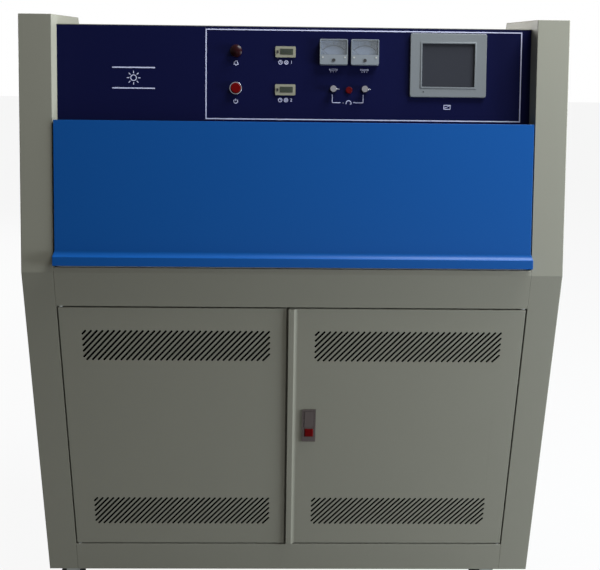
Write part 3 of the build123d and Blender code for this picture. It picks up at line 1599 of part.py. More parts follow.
def floor_fitting(x):
    """Nut and hose barb under the floor."""
    nut_z = (FLOOR_Z - FITTING_HEX_HEIGHT, FLOOR_Z)
    fitting = Pos(x, PIPE_Y, nut_z[0]) * extrude(
        RegularPolygon(FITTING_HEX / 2, 6, major_radius=False), FITTING_HEX_HEIGHT
    )
    low = nut_z[0] - BARB_LENGTH
    fitting += z_rod(x, PIPE_Y, (low, nut_z[0]), BARB_R)
    return fitting - z_rod(x, PIPE_Y, (low, FLOOR_Z), BARB_BORE_R)


def cable_gland():
    """Gland under the floor that the supply cable enters by."""
    nut_z = (FLOOR_Z - GLAND_HEX_HEIGHT, FLOOR_Z)
    gland = Pos(GLAND_X, GLAND_Y, nut_z[0]) * extrude(
        RegularPolygon(GLAND_HEX / 2, 6, major_radius=False), GLAND_HEX_HEIGHT
    )
    low = nut_z[0] - GLAND_DOME
    gland += z_rod(GLAND_X, GLAND_Y, (low, nut_z[0]), GLAND_DOME_R)
    return gland - z_rod(GLAND_X, GLAND_Y, (low, FLOOR_Z), GLAND_BORE_R)


def service_fittings():
    """Pipes between pan, tank and floor, and the fittings under the floor."""
    inner = PIPE_R - PIPE_WALL
    fill_low = FLOOR_TOP + TANK_HEIGHT - FILL_DIP
    return [
        tube(FILL_X, PIPE_Y, (fill_low, PAN_BOTTOM), PIPE_R, inner),
        tube(DRAIN_X, PIPE_Y, (FLOOR_TOP, PAN_BOTTOM), PIPE_R, inner),
        floor_fitting(DRAIN_X),
        floor_fitting(INLET_X),
        cable_gland(),
    ]


# Casters, each in its own frame: origin under its swivel, wheel trailing to -X


def caster_place(side_x, side_y):
    return Pos(side_x * CASTER_X, side_y * CASTER_Y, 0)


CROWN_TOP = CASTER_HEIGHT - PLATE_THICKNESS - FORK_GAP
YOKE_BOTTOM = CROWN_TOP - CROWN - YOKE


def caster_plate():
    """Plate with the kingpin that the fork turns on."""
    low = CASTER_HEIGHT - PLATE_THICKNESS
    plate = Pos(0, 0, low) * extrude(
        RectangleRounded(PLATE_SIZE, PLATE_SIZE, 2 * PLATE_THICKNESS), PLATE_THICKNESS
    )
    head_z = (YOKE_BOTTOM - FORK_GAP - KINGPIN_HEAD, YOKE_BOTTOM - FORK_GAP)
    pin = z_rod(0, 0, (head_z[0], low), KINGPIN_R) + z_rod(0, 0, head_z, KINGPIN_HEAD_R)
    return plate + pin


def caster_fork():
    """Crown, yoke and two arms, with the axle bolt through them."""
    crown = z_rod(0, 0, (CROWN_TOP - CROWN, CROWN_TOP), CROWN_R)
    outside = FORK_INSIDE / 2 + FORK_ARM
    yoke_x = (-TRAIL - ARM_END_R, CROWN_R - YOKE)
    yoke = block(yoke_x, either_side(outside), (YOKE_BOTTOM, YOKE_BOTTOM + YOKE))
    fork = crown + yoke
    root = Rectangle(ARM_ROOT[1] - ARM_ROOT[0], YOKE)
    top = Pos((ARM_ROOT[0] + ARM_ROOT[1]) / 2, YOKE_BOTTOM + YOKE / 2) * root
    end = Pos(-TRAIL, WHEEL_R) * Circle(ARM_END_R)
    arm = extrude(Plane.XZ * make_hull(top.edges() + end.edges()), FORK_ARM)
    fork += Pos(0, outside, 0) * arm
    fork += Pos(0, -FORK_INSIDE / 2, 0) * arm
    fork -= z_rod(0, 0, (YOKE_BOTTOM, CROWN_TOP), KINGPIN_R + PIN_CLEARANCE)
    fork -= y_rod(-TRAIL, either_side(outside), WHEEL_R, AXLE_R)
    axle = y_rod(-TRAIL, either_side(outside + AXLE_HEAD), WHEEL_R, AXLE_R)
    for side in (-1, 1):
        head = sorted((side * outside, side * (outside + AXLE_HEAD)))
        axle += y_rod(-TRAIL, head, WHEEL_R, AXLE_HEAD_R)
    return [fork, axle]


def caster_wheel():
    """Tread, thin web and hub, bored for the axle."""
    half = WHEEL_WIDTH / 2
    wheel = Rot(90, 0, 0) * Cylinder(WHEEL_R, WHEEL_WIDTH)
    wheel = fillet(wheel.edges().filter_by(GeomType.CIRCLE), TREAD_ROUND)
    for side in (-1, 1):
        dish = sorted((side * WEB_WIDTH / 2, side * half))
        wheel -= y_rod(0, dish, 0, RIM_R)
    wheel += Rot(90, 0, 0) * Cylinder(HUB_R, HUB_WIDTH)
    wheel -= Rot(90, 0, 0) * Cylinder(AXLE_R + PIN_CLEARANCE, HUB_WIDTH)
    return Pos(-TRAIL, 0, WHEEL_R) * wheel


CORNERS = {
    "front_left": (-1, -1),
    "front_right": (1, -1),
    "rear_left": (-1, 1),
    "rear_right": (1, 1),
}


def casters():
    """Nodes of the four casters."""
    nodes = {"caster_plates": [caster_place(*at) * caster_plate() for at in CORNERS.values()]}
    for corner, at in CORNERS.items():
        place = caster_place(*at)
        nodes[f"{corner}_caster_fork"] = [place * piece for piece in caster_fork()]
        nodes[f"{corner}_caster_wheel"] = [place * caster_wheel()]
    return nodes


def assembly():
    """Every named part as a list of solids."""
    right_cover = side_cover()
    right_wall = inner_wall()
    nodes = {
        "left_side_cover": turned([right_cover]),
        "right_side_cover": [right_cover],
        "inner_walls": front_and_rear([right_wall]),
        "base_frame": base_frame(),
        "cabinet_rails": cabinet_rails(),
        "rear_panels": rear_panels(),
        "top_cover": [top_cover()],
        "control_panel": [control_panel()],
        "chamber_roof": [chamber_roof()],
        "opening_frames": front_and_rear([opening_frame()]),
        "water_pan": water_pan(),
        "pan_heater": pan_heater(),
        "chamber_seals": chamber_seals(),
        "specimen_racks": front_and_rear(rack_rails()),
        "specimen_holders": specimen_holders(),
        "uv_lamps": uv_lamps(),
        "lamp_sockets": lamp_sockets(),
        "chamber_sensors": chamber_sensors(),
        "buzzer": [buzzer()],
        "power_bezel": [power_bezel()],
        "power_button": [power_button()],
        "hour_meters": [hour_meter(s) for s in HOUR_METER_S],
        "upper_hour_meter_key": [hour_meter_key(HOUR_METER_S[0])],
        "lower_hour_meter_key": [hour_meter_key(HOUR_METER_S[1])],
        "meter_cases": meter_cases(),
        "meter_dials": [meter_dial(x) for x in METER_X],
        "meter_windows": [meter_window(x) for x in METER_X],
        "left_meter_needle": [meter_needle(METER_X[0])],
        "right_meter_needle": [meter_needle(METER_X[1])],
        "left_knob": [knob(KNOB_X[0])],
        "right_knob": [knob(KNOB_X[1])],
        "reset_button": [reset_button()],
        "touchscreen_bezel": [touchscreen_bezel()],
        "touchscreen_glass": [touchscreen_glass()],
        "front_door": chamber_door(),
        "rear_door": turned(chamber_door()),
        "hinge_brackets": hinge_brackets(),
        "left_cabinet_door": [left_cabinet_door()],
        "right_cabinet_door": [right_cabinet_door()],
        "cabinet_door_pivots": cabinet_door_pivots(),
        "latch_body": [latch_body()],
        "latch_lever": [latch_lever()],
        "latch_button": [latch_button()],
        "screws": meter_screws() + rear_screws(),
        "blower_housing": blower_housing(),
        "blower_wheel": [blower_wheel()],
        "electrical_plate": electrical_plate(),
        "lamp_ballasts": ballasts(),
        "switchgear": switchgear() + panel_switches(),
        "water_tank": water_tank(),
        "service_fittings": service_fittings(),
    }
    nodes.update(casters())
    return nodes


def write_parts(nodes):
    """One STEP file for each named part."""
    os.makedirs("parts", exist_ok=True)
    for name, pieces in nodes.items():
        solids = [solid for piece in pieces for solid in piece.solids()]
        export_step(Compound(solids), f"parts/{name}.step")


write_parts(assembly())
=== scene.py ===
"""Visual model of an ultraviolet weathering chamber, dressed over its CAD frame.

Sizes are in metres in the machine's own frame: X to the right of a person in front, Y towards
the back and Z up, with the origin on the floor under the middle of the machine.
"""

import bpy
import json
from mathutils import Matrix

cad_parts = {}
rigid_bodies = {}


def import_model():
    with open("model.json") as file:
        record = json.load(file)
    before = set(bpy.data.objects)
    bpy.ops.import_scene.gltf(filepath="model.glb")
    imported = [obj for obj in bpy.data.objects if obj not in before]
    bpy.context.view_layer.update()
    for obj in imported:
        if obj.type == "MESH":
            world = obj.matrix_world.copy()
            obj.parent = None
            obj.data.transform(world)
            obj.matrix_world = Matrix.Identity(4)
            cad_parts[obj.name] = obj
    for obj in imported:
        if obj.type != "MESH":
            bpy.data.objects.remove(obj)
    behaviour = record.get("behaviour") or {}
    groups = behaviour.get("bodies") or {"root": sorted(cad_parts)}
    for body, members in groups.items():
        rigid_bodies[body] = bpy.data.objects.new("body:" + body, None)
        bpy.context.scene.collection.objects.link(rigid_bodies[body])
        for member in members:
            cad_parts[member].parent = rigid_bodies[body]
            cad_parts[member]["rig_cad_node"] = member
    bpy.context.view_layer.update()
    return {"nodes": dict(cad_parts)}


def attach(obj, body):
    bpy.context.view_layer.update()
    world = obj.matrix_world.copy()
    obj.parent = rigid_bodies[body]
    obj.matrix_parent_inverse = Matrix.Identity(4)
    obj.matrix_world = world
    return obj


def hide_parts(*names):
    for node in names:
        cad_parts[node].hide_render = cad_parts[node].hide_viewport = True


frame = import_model()

import json
import logging
from dataclasses import dataclass, field
from enum import Enum
from math import atan2, cos, pi, radians, sin
from typing import Callable, Iterable, Sequence

import bmesh
import bpy
from mathutils import Matrix, Vector

LOG = logging.getLogger("weathering_chamber")
Point = tuple[float, float, float]
Flat = tuple[float, float]
Colour = tuple[int, int, int]
Linear = tuple[float, float, float, float]
Test = Callable[[Vector, Vector], bool]
Piece = bpy.types.Object
Tree = bpy.types.NodeTree
Node = bpy.types.Node
Socket = bpy.types.NodeSocket


# Measures shared with the CAD frame


@dataclass(frozen=True)
class Machine:
    """Main sizes of the machine that several sub-assemblies stand on."""

    front: float = -0.275
    waist: float = 0.932
    lean: float = atan2(0.146, 0.588)
    panel_base: float = 0.3691
    panel_recess: float = 0.0465

    def panel(self) -> Matrix:
        """Frame of the control panel's face: X across, Y up the slope, Z out of it."""
        across = Vector((1, 0, 0))
        along = Vector((0, sin(self.lean), cos(self.lean)))
        outward = Vector((0, -cos(self.lean), sin(self.lean)))
        origin = Vector((0, self.front, self.waist))
        origin += self.panel_base * along - self.panel_recess * outward
        columns = Matrix((across, along, outward)).transposed().to_4x4()
        columns.translation = origin
        return columns


MACHINE = Machine()
REAR = Matrix.Rotation(pi, 4, "Z")


# Finishes


class Pattern(Enum):
    """How a finish varies over its surface."""

    ORANGE_PEEL = "orange peel"
    BRUSHED_X = "brushed along X"
    BRUSHED_Z = "brushed along Z"
    CAST = "cast"
    SPANGLE = "spangle"
    SMOOTH = "smooth"


@dataclass(frozen=True)
class PatternSizes:
    """Sizes of one pattern's noise."""

    stretch: Point
    detail: float
    relief: float


PATTERN_SIZES = {
    Pattern.ORANGE_PEEL: PatternSizes((420.0, 420.0, 420.0), 2.0, 0.00004),
    Pattern.BRUSHED_X: PatternSizes((6.0, 900.0, 900.0), 3.0, 0.00003),
    Pattern.BRUSHED_Z: PatternSizes((900.0, 900.0, 6.0), 3.0, 0.00003),
    Pattern.CAST: PatternSizes((260.0, 260.0, 260.0), 4.0, 0.00012),
    Pattern.SPANGLE: PatternSizes((70.0, 70.0, 70.0), 1.0, 0.00002),
    Pattern.SMOOTH: PatternSizes((90.0, 90.0, 90.0), 2.0, 0.00001),
}
BROAD_NOISE = (5.0, 3.0)
ROUGHNESS_SPREAD = 0.05
SMOOTHEST = 0.02
COAT_ROUGHNESS = 0.08


@dataclass(frozen=True)
class Finish:
    """One finish of the machine, made from noise in object coordinates."""

    name: str
    colour: Colour
    roughness: float = 0.5
    pattern: Pattern = Pattern.SMOOTH
    variation: float = 0.03
    metallic: float = 0.0
    coat: float = 0.0
    alpha: float = 1.0
    specular: float = 0.3
    wear: float = 0.02

    def material(self) -> bpy.types.Material:
        """The finish's material, built once."""
        return known_material(self.name, self.shader)

    def shader(self, tree: Tree) -> Node:
        """Adds the finish's shader to a node tree.

        Args:
            tree: Node tree of the material.

        Returns:
            The Principled shader node.
        """
        sizes = PATTERN_SIZES[self.pattern]
        place = add_node(tree, "TexCoord").outputs["Object"]
        spread = add_node(tree, "Mapping", {"Vector": place, "Scale": sizes.stretch})
        grain = self._noise(tree, spread.outputs["Vector"], 1.0, sizes.detail)
        broad = self._noise(tree, place, *BROAD_NOISE)
        limits = {
            "Value": grain,
            "To Min": max(self.roughness - ROUGHNESS_SPREAD, SMOOTHEST),
            "To Max": min(self.roughness + ROUGHNESS_SPREAD, 1.0),
        }
        bump = add_node(tree, "Bump", {"Height": grain, "Distance": sizes.relief})
        inputs = {
            "Base Color": self._tinted(tree, grain, broad),
            "Roughness": add_node(tree, "MapRange", limits).outputs["Result"],
            "Normal": bump.outputs["Normal"],
            "Metallic": self.metallic,
            "Coat Weight": self.coat,
            "Coat Roughness": COAT_ROUGHNESS,
            "Alpha": self.alpha,
            "Specular IOR Level": self.specular,
        }
        return add_node(tree, "BsdfPrincipled", inputs)

    def _noise(self, tree: Tree, vector: Socket, scale: float, detail: float) -> Socket:
        """Adds a noise texture and gives its value."""
        inputs = {"Vector": vector, "Scale": scale, "Detail": detail}
        return add_node(tree, "TexNoise", inputs).outputs["Fac"]

    def _tinted(self, tree: Tree, grain: Socket, broad: Socket) -> Socket:
        """Mixes the colour's darker and lighter shades by fine grain and by broad wear."""
        base = linear(self.colour)
        fine, wide = (
            mix_colours(tree, noise, shade(base, 1 - share), shade(base, 1 + share))
            for noise, share in ((grain, self.variation), (broad, self.wear))
        )
        return mix_colours(tree, 0.5, fine, wide)


@dataclass(frozen=True)
class Zone:
    """Part of space, the same on all sides: where a sum of distances passes a limit."""

    weights: Point
    limit: float


@dataclass(frozen=True)
class ZonedFinish:
    """Two finishes on one node, parted where every zone's limit is passed."""

    name: str
    outside: Finish
    inside: Finish
    zones: tuple[Zone, ...]

    def material(self) -> bpy.types.Material:
        """The two-part material, built once."""
        return known_material(self.name, self._surface)

    def _surface(self, tree: Tree) -> Node:
        """Adds both finishes' shaders and their mix."""
        shaders = (finish.shader(tree) for finish in (self.outside, self.inside))
        return mix_shaders(tree, self._factor(tree), *shaders)

    def _factor(self, tree: Tree) -> Socket:
        """Factor that is 1 where every zone holds."""
        place = add_node(tree, "TexCoord").outputs["Object"]
        distances = add_node(tree, "VectorMath", {0: place}, operation="ABSOLUTE").outputs[0]
        factor: float | Socket = 1.0
        for zone in self.zones:
            terms = {0: distances, 1: zone.weights}
            total = add_node(tree, "VectorMath", terms, operation="DOT_PRODUCT").outputs["Value"]
            passed = maths(tree, "GREATER_THAN", total, zone.limit)
            factor = maths(tree, "MULTIPLY", factor, passed)
        return factor


def add_node(
    tree: Tree, kind: str, inputs: dict[str | int, object] | None = None, **options: object
) -> Node:
    """Adds a shader node.

    Args:
        tree: Node tree of a material or world.
        kind: The node's type, without its first words.
        inputs: Its inputs by name or number, each with a value or a socket to link.
        options: Its other settings.

    Returns:
        The node.
    """
    node = tree.nodes.new(f"ShaderNode{kind}")
    for name, value in options.items():
        setattr(node, name, value)
    for name, value in (inputs or {}).items():
        if isinstance(value, Socket):
            tree.links.new(value, node.inputs[name])
        else:
            node.inputs[name].default_value = value
    return node


def maths(tree: Tree, operation: str, *terms: object) -> Socket:
    """Adds a maths node, each term a value or a socket, and gives its result."""
    return add_node(tree, "Math", dict(enumerate(terms)), operation=operation).outputs[0]


def mix_shaders(tree: Tree, factor: Socket, first: Node, second: Node) -> Node:
    """Adds a mix of two shaders, all of the second where the factor is 1."""
    return add_node(tree, "MixShader", {0: factor, 1: first.outputs[0], 2: second.outputs[0]})


def known_material(name: str, surface: Callable[[Tree], Node]) -> bpy.types.Material:
    """Gives the material of a name, and builds it the first time.

    Args:
        name: Its name.
        surface: Adds its shader to a node tree.

    Returns:
        The material.
    """
    known = bpy.data.materials.get(name)
    if known is not None:
        return known
    material = bpy.data.materials.new(name)
    material.use_nodes = True
    tree = material.node_tree
    tree.nodes.clear()
    add_node(tree, "OutputMaterial", {"Surface": surface(tree).outputs[0]})
    return material


def linear(colour: Colour) -> Linear:
    """Linear colour of 0-255 display values."""

    def channel(value: int) -> float:
        """One linear channel."""
        share = value / 255
        return share / 12.92 if share <= 0.04045 else ((share + 0.055) / 1.055) ** 2.4

    return (channel(colour[0]), channel(colour[1]), channel(colour[2]), 1.0)


def shade(colour: Linear, factor: float) -> Linear:
    """A linear colour made lighter or darker."""
    return (colour[0] * factor, colour[1] * factor, colour[2] * factor, 1.0)


def mix_colours(tree: Tree, factor: object, first: object, second: object) -> Socket:
    """Adds a mix of two colours, each input a value or a socket, and gives its colour."""
    inputs = {"Factor": factor, "A": first, "B": second}
    return add_node(tree, "Mix", inputs, data_type="RGBA").outputs["Result"]


CABINET_PAINT = Finish("cabinet_paint", (120, 118, 106), 0.55, Pattern.ORANGE_PEEL, 0.05, specular=0.2)
DOOR_BLUE = Finish("door_blue_paint", (5, 65, 126), 0.42, Pattern.ORANGE_PEEL, specular=0.12)
NAVY = Finish("navy_panel_film", (8, 11, 44), 0.4, specular=0.04)
WHITE_PRINT = Finish("white_print", (176, 176, 200), 0.55)
STAINLESS = Finish("brushed_stainless", (178, 180, 182), 0.34, Pattern.BRUSHED_X, 0.08, metallic=1.0)
GALVANISED = Finish("galvanised_sheet", (158, 163, 166), 0.42, Pattern.SPANGLE, 0.1, metallic=0.9)
ALUMINIUM = Finish("anodised_aluminium", (186, 188, 190), 0.36, Pattern.BRUSHED_Z, 0.05, metallic=1.0)
SILICONE = Finish("grey_silicone", (72, 72, 74), 0.75, Pattern.CAST, 0.08)
PHOSPHOR = Finish("coated_lamp_glass", (226, 232, 240), 0.22, Pattern.SMOOTH, 0.02, coat=0.5)
LAMP_METAL = Finish("lamp_cap_metal", (190, 190, 188), 0.3, Pattern.BRUSHED_X, 0.05, metallic=1.0)
WHITE_PLASTIC = Finish("white_moulding", (222, 222, 216), 0.45, Pattern.CAST)
BLACK_PLASTIC = Finish("black_moulding", (28, 28, 30), 0.5, Pattern.CAST, 0.1)
GREY_PLASTIC = Finish("grey_moulding", (126, 130, 132), 0.5, Pattern.CAST, 0.05)
HMI_PLASTIC = Finish("pale_screen_rim", (101, 104, 106), 0.42, Pattern.CAST, specular=0.2)
SCREEN = Finish("dark_screen", (44, 45, 50), 0.3, Pattern.SMOOTH, 0.04, specular=0.06)
METER_BAND = Finish("meter_face_metal", (110, 115, 120), 0.4, Pattern.BRUSHED_X, 0.05, metallic=0.2)
METER_WHITE = Finish("meter_dial_card", (97, 107, 125), 0.6, specular=0.2)
PRINT_BLACK = Finish("black_print", (26, 27, 34), 0.6)
HOUR_METER_CASE = Finish("hour_meter_moulding", (122, 120, 104), 0.45, Pattern.CAST, 0.04)
LCD = Finish("number_display", (52, 58, 44), 0.3, Pattern.SMOOTH, 0.04, specular=0.15)
CHROME = Finish("bright_plated_metal", (128, 128, 134), 0.24, Pattern.SMOOTH, 0.02, metallic=1.0)
POWER_RED = Finish("bright_red_cap", (86, 2, 3), 0.35, Pattern.SMOOTH, 0.04, specular=0.05)
RESET_RED = Finish("red_button", (73, 3, 7), 0.4, Pattern.SMOOTH, 0.04, specular=0.06)
BUZZER_RED = Finish("dark_red_dome", (27, 3, 6), 0.3, Pattern.SMOOTH, 0.06, specular=0.06)
LATCH_METAL = Finish("satin_latch_plate", (84, 75, 73), 0.42, Pattern.BRUSHED_Z, 0.06, metallic=0.6)
RUBBER = Finish("wheel_rubber", (38, 38, 40), 0.8, Pattern.CAST, 0.12)
ZINC = Finish("zinc_plated_steel", (170, 172, 168), 0.36, Pattern.SPANGLE, 0.06, metallic=1.0)
HEATER_STEEL = Finish("heated_steel", (120, 112, 104), 0.4, Pattern.BRUSHED_X, 0.12, metallic=1.0)
TANK_PLASTIC = Finish("natural_polythene", (214, 216, 210), 0.5, Pattern.CAST)
BLACK_PAINT = Finish("black_paint", (30, 31, 33), 0.5, Pattern.ORANGE_PEEL, 0.08)
CLEAR = Finish("clear_pane", (236, 240, 242), 0.06, alpha=0.05)
# Near-black, nearly unreflecting pads behind the vent slots: painted shade for the dark inside the cabinet.
VENT_SHADE_BLACK = Finish("painted_vent_shade_black", (9, 9, 10), 0.95, Pattern.CAST, 0.2, specular=0.02)
BRASS = Finish("nickelled_brass", (186, 172, 132), 0.3, Pattern.SMOOTH, 0.05, metallic=1.0)

LINER_SLOPE = 0.2483
LINER_DEPTH = 0.245
LINER_FOOT = 0.849
LINER_TOP = 1.249
GLASS_END = 0.5846

LINED_WALL = ZonedFinish(
    "paint_and_liner",
    CABINET_PAINT,
    STAINLESS,
    (
        Zone((0.0, -1.0, -LINER_SLOPE), -(LINER_DEPTH + LINER_SLOPE * MACHINE.waist)),
        Zone((0.0, 0.0, 1.0), LINER_FOOT),
        Zone((0.0, 0.0, -1.0), -LINER_TOP),
    ),
)
LAMP_FINISH = ZonedFinish(
    "lamp_glass_and_caps", PHOSPHOR, LAMP_METAL, (Zone((1.0, 0.0, 0.0), GLASS_END),)
)

GROUPS: tuple[tuple[Finish | ZonedFinish, str], ...] = (
    (
        CABINET_PAINT,
        "left_side_cover right_side_cover base_frame cabinet_rails rear_panels top_cover "
        "left_cabinet_door right_cabinet_door",
    ),
    (LINED_WALL, "inner_walls"),
    (NAVY, "control_panel"),
    (STAINLESS, "chamber_roof opening_frames water_pan"),
    (HEATER_STEEL, "pan_heater"),
    (SILICONE, "chamber_seals"),
    (ALUMINIUM, "specimen_racks specimen_holders"),
    (LAMP_FINISH, "uv_lamps"),
    (WHITE_PLASTIC, "lamp_sockets lamp_ballasts"),
    (BLACK_PAINT, "chamber_sensors blower_housing"),
    (BUZZER_RED, "buzzer"),
    (CHROME, "power_bezel left_knob right_knob"),
    (POWER_RED, "power_button latch_button"),
    (HOUR_METER_CASE, "hour_meters"),
    (BLACK_PLASTIC, "upper_hour_meter_key lower_hour_meter_key"),
    (METER_BAND, "meter_cases"),
    (METER_WHITE, "meter_dials"),
    (CLEAR, "meter_windows"),
    (PRINT_BLACK, "left_meter_needle right_meter_needle"),
    (RESET_RED, "reset_button"),
    (HMI_PLASTIC, "touchscreen_bezel"),
    (SCREEN, "touchscreen_glass"),
    (DOOR_BLUE, "front_door rear_door"),
    (ZINC, "hinge_brackets cabinet_door_pivots screws caster_plates"),
    (LATCH_METAL, "latch_body latch_lever"),
    (GALVANISED, "blower_wheel electrical_plate"),
    (GREY_PLASTIC, "switchgear"),
    (TANK_PLASTIC, "water_tank"),
    (BRASS, "service_fittings"),
)
FINISHES = {node: finish for finish, nodes in GROUPS for node in nodes.split()}
for corner in ("front_left", "front_right", "rear_left", "rear_right"):
    FINISHES |= {f"{corner}_caster_fork": ZINC, f"{corner}_caster_wheel": RUBBER}


# Hand tools


class Pick(Enum):
    """What is selected in edit mode."""

    EDGES = "EDGE"
    FACES = "FACE"


SMOOTH_ANGLE = radians(35)
FOLD_ANGLE = radians(12)
FLAT_ANGLE = radians(0.6)
MERGE = 0.00001
NEARLY = 0.9
WIDE_FACE_WEIGHT = 100
CAP_SHARE = 0.7
INK = 0.00006


def looks_up(middle: Vector, way: Vector) -> bool:
    """Tells whether a face looks along Z."""
    return way.z > NEARLY


def lies_along_z(middle: Vector, way: Vector) -> bool:
    """Tells whether a face looks up or down, or an edge runs so."""
    return abs(way.z) > NEARLY


class Bench:
    """Hand tools that shape one piece at a time with Blender's operators."""

    def box(self, name: str, low: Sequence[float], high: Sequence[float]) -> Piece:
        """Adds a box between two corners.

        Args:
            name: Name of the piece.
            low: Lowest corner.
            high: Highest corner.

        Returns:
            The new object, with its place in its mesh.
        """
        self.clear()
        middle = [(a + b) / 2 for a, b in zip(low, high)]
        size = [b - a for a, b in zip(low, high)]
        bpy.ops.mesh.primitive_cube_add(size=1.0, location=middle)
        piece = bpy.context.object
        piece.name = name
        piece.scale = size
        self.settle(piece)
        return piece

    def rod(
        self, name: str, centre: Sequence[float], radius: float, depth: float, sides: int = 48
    ) -> Piece:
        """Adds a rod along Z.

        Args:
            name: Name of the piece.
            centre: Middle of the rod.
            radius: Its radius.
            depth: Its length.
            sides: Number of its sides.

        Returns:
            The new object, with its place in its mesh.
        """
        self.clear()
        bpy.ops.mesh.primitive_cylinder_add(
            vertices=sides, radius=radius, depth=depth, location=centre
        )
        piece = bpy.context.object
        piece.name = name
        self.settle(piece)
        return piece

    def ring(
        self,
        name: str,
        centre: Sequence[float],
        outer: float,
        inner: float,
        depth: float,
        sides: int = 48,
    ) -> Piece:
        """Adds a flat ring round Z, by an inset and a bridge through a rod.

        Args:
            name: Name of the piece.
            centre: Middle of the ring.
            outer: Outer radius.
            inner: Inner radius.
            depth: Thickness.
            sides: Number of its sides.

        Returns:
            The new object.
        """
        piece = self.rod(name, centre, outer, depth, sides)
        self.hollow(piece, outer - inner)
        return piece

    def hollow(self, piece: Piece, width: float) -> None:
        """Opens a flat piece through its upper and lower faces, and leaves a rim."""
        self.pick(piece, Pick.FACES, lies_along_z)
        bpy.ops.mesh.inset(thickness=width, use_even_offset=True)
        bpy.ops.mesh.bridge_edge_loops()
        self.leave()

    def words(self, name: str, text: str, at: Flat, height: float, lift: float) -> Piece:
        """Adds plain numbers or a generic mark, as a thin mesh.

        Args:
            name: Name of the piece.
            text: The characters.
            at: Middle of the text.
            height: Height of its capitals.
            lift: Height of its lower side.

        Returns:
            The new object.
        """
        self.clear()
        bpy.ops.object.text_add(location=(0, 0, 0))
        piece = bpy.context.object
        piece.name = name
        piece.data.body = text
        piece.data.align_x = "CENTER"
        piece.data.align_y = "CENTER"
        piece.data.size = height / CAP_SHARE
        piece.data.extrude = INK
        bpy.ops.object.convert(target="MESH")
        piece = bpy.context.object
        piece.location = (at[0], at[1], lift)
        self.settle(piece)
        return piece

    def clear(self) -> None:
        """Leaves edit mode and selects nothing."""
        if bpy.context.object is not None and bpy.context.object.mode != "OBJECT":
            bpy.ops.object.mode_set(mode="OBJECT")
        bpy.ops.object.select_all(action="DESELECT")

    def take(self, piece: Piece) -> None:
        """Selects one piece and makes it active."""
        self.clear()
        piece.select_set(True)
        bpy.context.view_layer.objects.active = piece

    def settle(self, piece: Piece) -> None:
        """Puts a piece's place, turn and size into its mesh."""
        self.take(piece)
        bpy.ops.object.transform_apply(location=True, rotation=True, scale=True)

    def pick(self, piece: Piece, kind: Pick, test: Test) -> None:
        """Selects parts of a piece in edit mode, and stays in it.

        Args:
            piece: The piece.
            kind: What to select.
            test: Takes a part's middle and its normal, or an edge's direction.
        """
        mesh = self._edit(piece, kind)
        mesh.normal_update()
        if kind is Pick.FACES:
            for face in mesh.faces:
                face.select_set(test(face.calc_center_median(), face.normal))
        else:
            for edge in mesh.edges:
                first, second = (vertex.co for vertex in edge.verts)
                edge.select_set(test((first + second) / 2, (second - first).normalized()))
        mesh.select_flush_mode()
        bmesh.update_edit_mesh(piece.data)

    def _edit(self, piece: Piece, kind: Pick) -> bmesh.types.BMesh:
        """Opens a piece in edit mode with nothing selected, and gives its mesh."""
        self.take(piece)
        bpy.ops.object.mode_set(mode="EDIT")
        bpy.ops.mesh.select_mode(type=kind.value)
        bpy.ops.mesh.select_all(action="DESELECT")
        return bmesh.from_edit_mesh(piece.data)

    def leave(self) -> None:
        """Leaves edit mode."""
        bpy.ops.object.mode_set(mode="OBJECT")

    def bevel(self, piece: Piece, width: float, steps: int, test: Test) -> None:
        """Rounds a piece's edges that pass a test."""
        self.pick(piece, Pick.EDGES, test)
        bpy.ops.mesh.bevel(offset=width, segments=steps, affect="EDGES", clamp_overlap=True)
        self.leave()

    def soften(self, piece: Piece, width: float, steps: int = 2) -> None:
        """Rounds every sharp edge of a piece with a bevel that is applied."""
        self.take(piece)
        bevel = piece.modifiers.new("soft_edges", "BEVEL")
        bevel.width = width
        bevel.segments = steps
        bevel.limit_method = "ANGLE"
        bevel.angle_limit = SMOOTH_ANGLE
        bpy.ops.object.modifier_apply(modifier=bevel.name)

    def extrude(self, piece: Piece, test: Test, by: Point) -> None:
        """Extrudes a piece's faces that pass a test."""
        self.pick(piece, Pick.FACES, test)
        bpy.ops.mesh.extrude_region_move(TRANSFORM_OT_translate={"value": by})
        self.leave()

    def inset(self, piece: Piece, test: Test, width: float, depth: float) -> None:
        """Insets a piece's faces that pass a test, and sinks them where depth is negative."""
        self.pick(piece, Pick.FACES, test)
        bpy.ops.mesh.inset(thickness=width, depth=0.0)
        if depth:
            bpy.ops.transform.shrink_fatten(value=depth)
        self.leave()

    def place(self, piece: Piece, matrix: Matrix) -> None:
        """Moves a piece by a matrix and settles it."""
        piece.matrix_world = matrix @ piece.matrix_world
        self.settle(piece)

    def join(self, name: str, pieces: Sequence[Piece]) -> Piece:
        """Joins pieces into one.

        Args:
            name: Name of the result.
            pieces: What is joined.

        Returns:
            The joined piece.
        """
        self.clear()
        for piece in pieces:
            piece.select_set(True)
        bpy.context.view_layer.objects.active = pieces[0]
        if len(pieces) > 1:
            bpy.ops.object.join()
        joined = bpy.context.object
        joined.name = name
        return joined

    def twin(self, node: str, name: str) -> Piece:
        """Copies a CAD node, and merges its loose triangles into whole faces.

        Args:
            node: The node.
            name: Name of the copy.

        Returns:
            The copy.
        """
        self.take(frame["nodes"][node])
        bpy.ops.object.duplicate(linked=False)
        piece = bpy.context.object
        del piece["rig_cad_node"]
        piece.name = name
        bpy.ops.object.mode_set(mode="EDIT")
        bpy.ops.mesh.select_all(action="SELECT")
        bpy.ops.mesh.remove_doubles(threshold=MERGE)
        bpy.ops.mesh.dissolve_limited(angle_limit=FLAT_ANGLE)
        self.leave()
        return piece

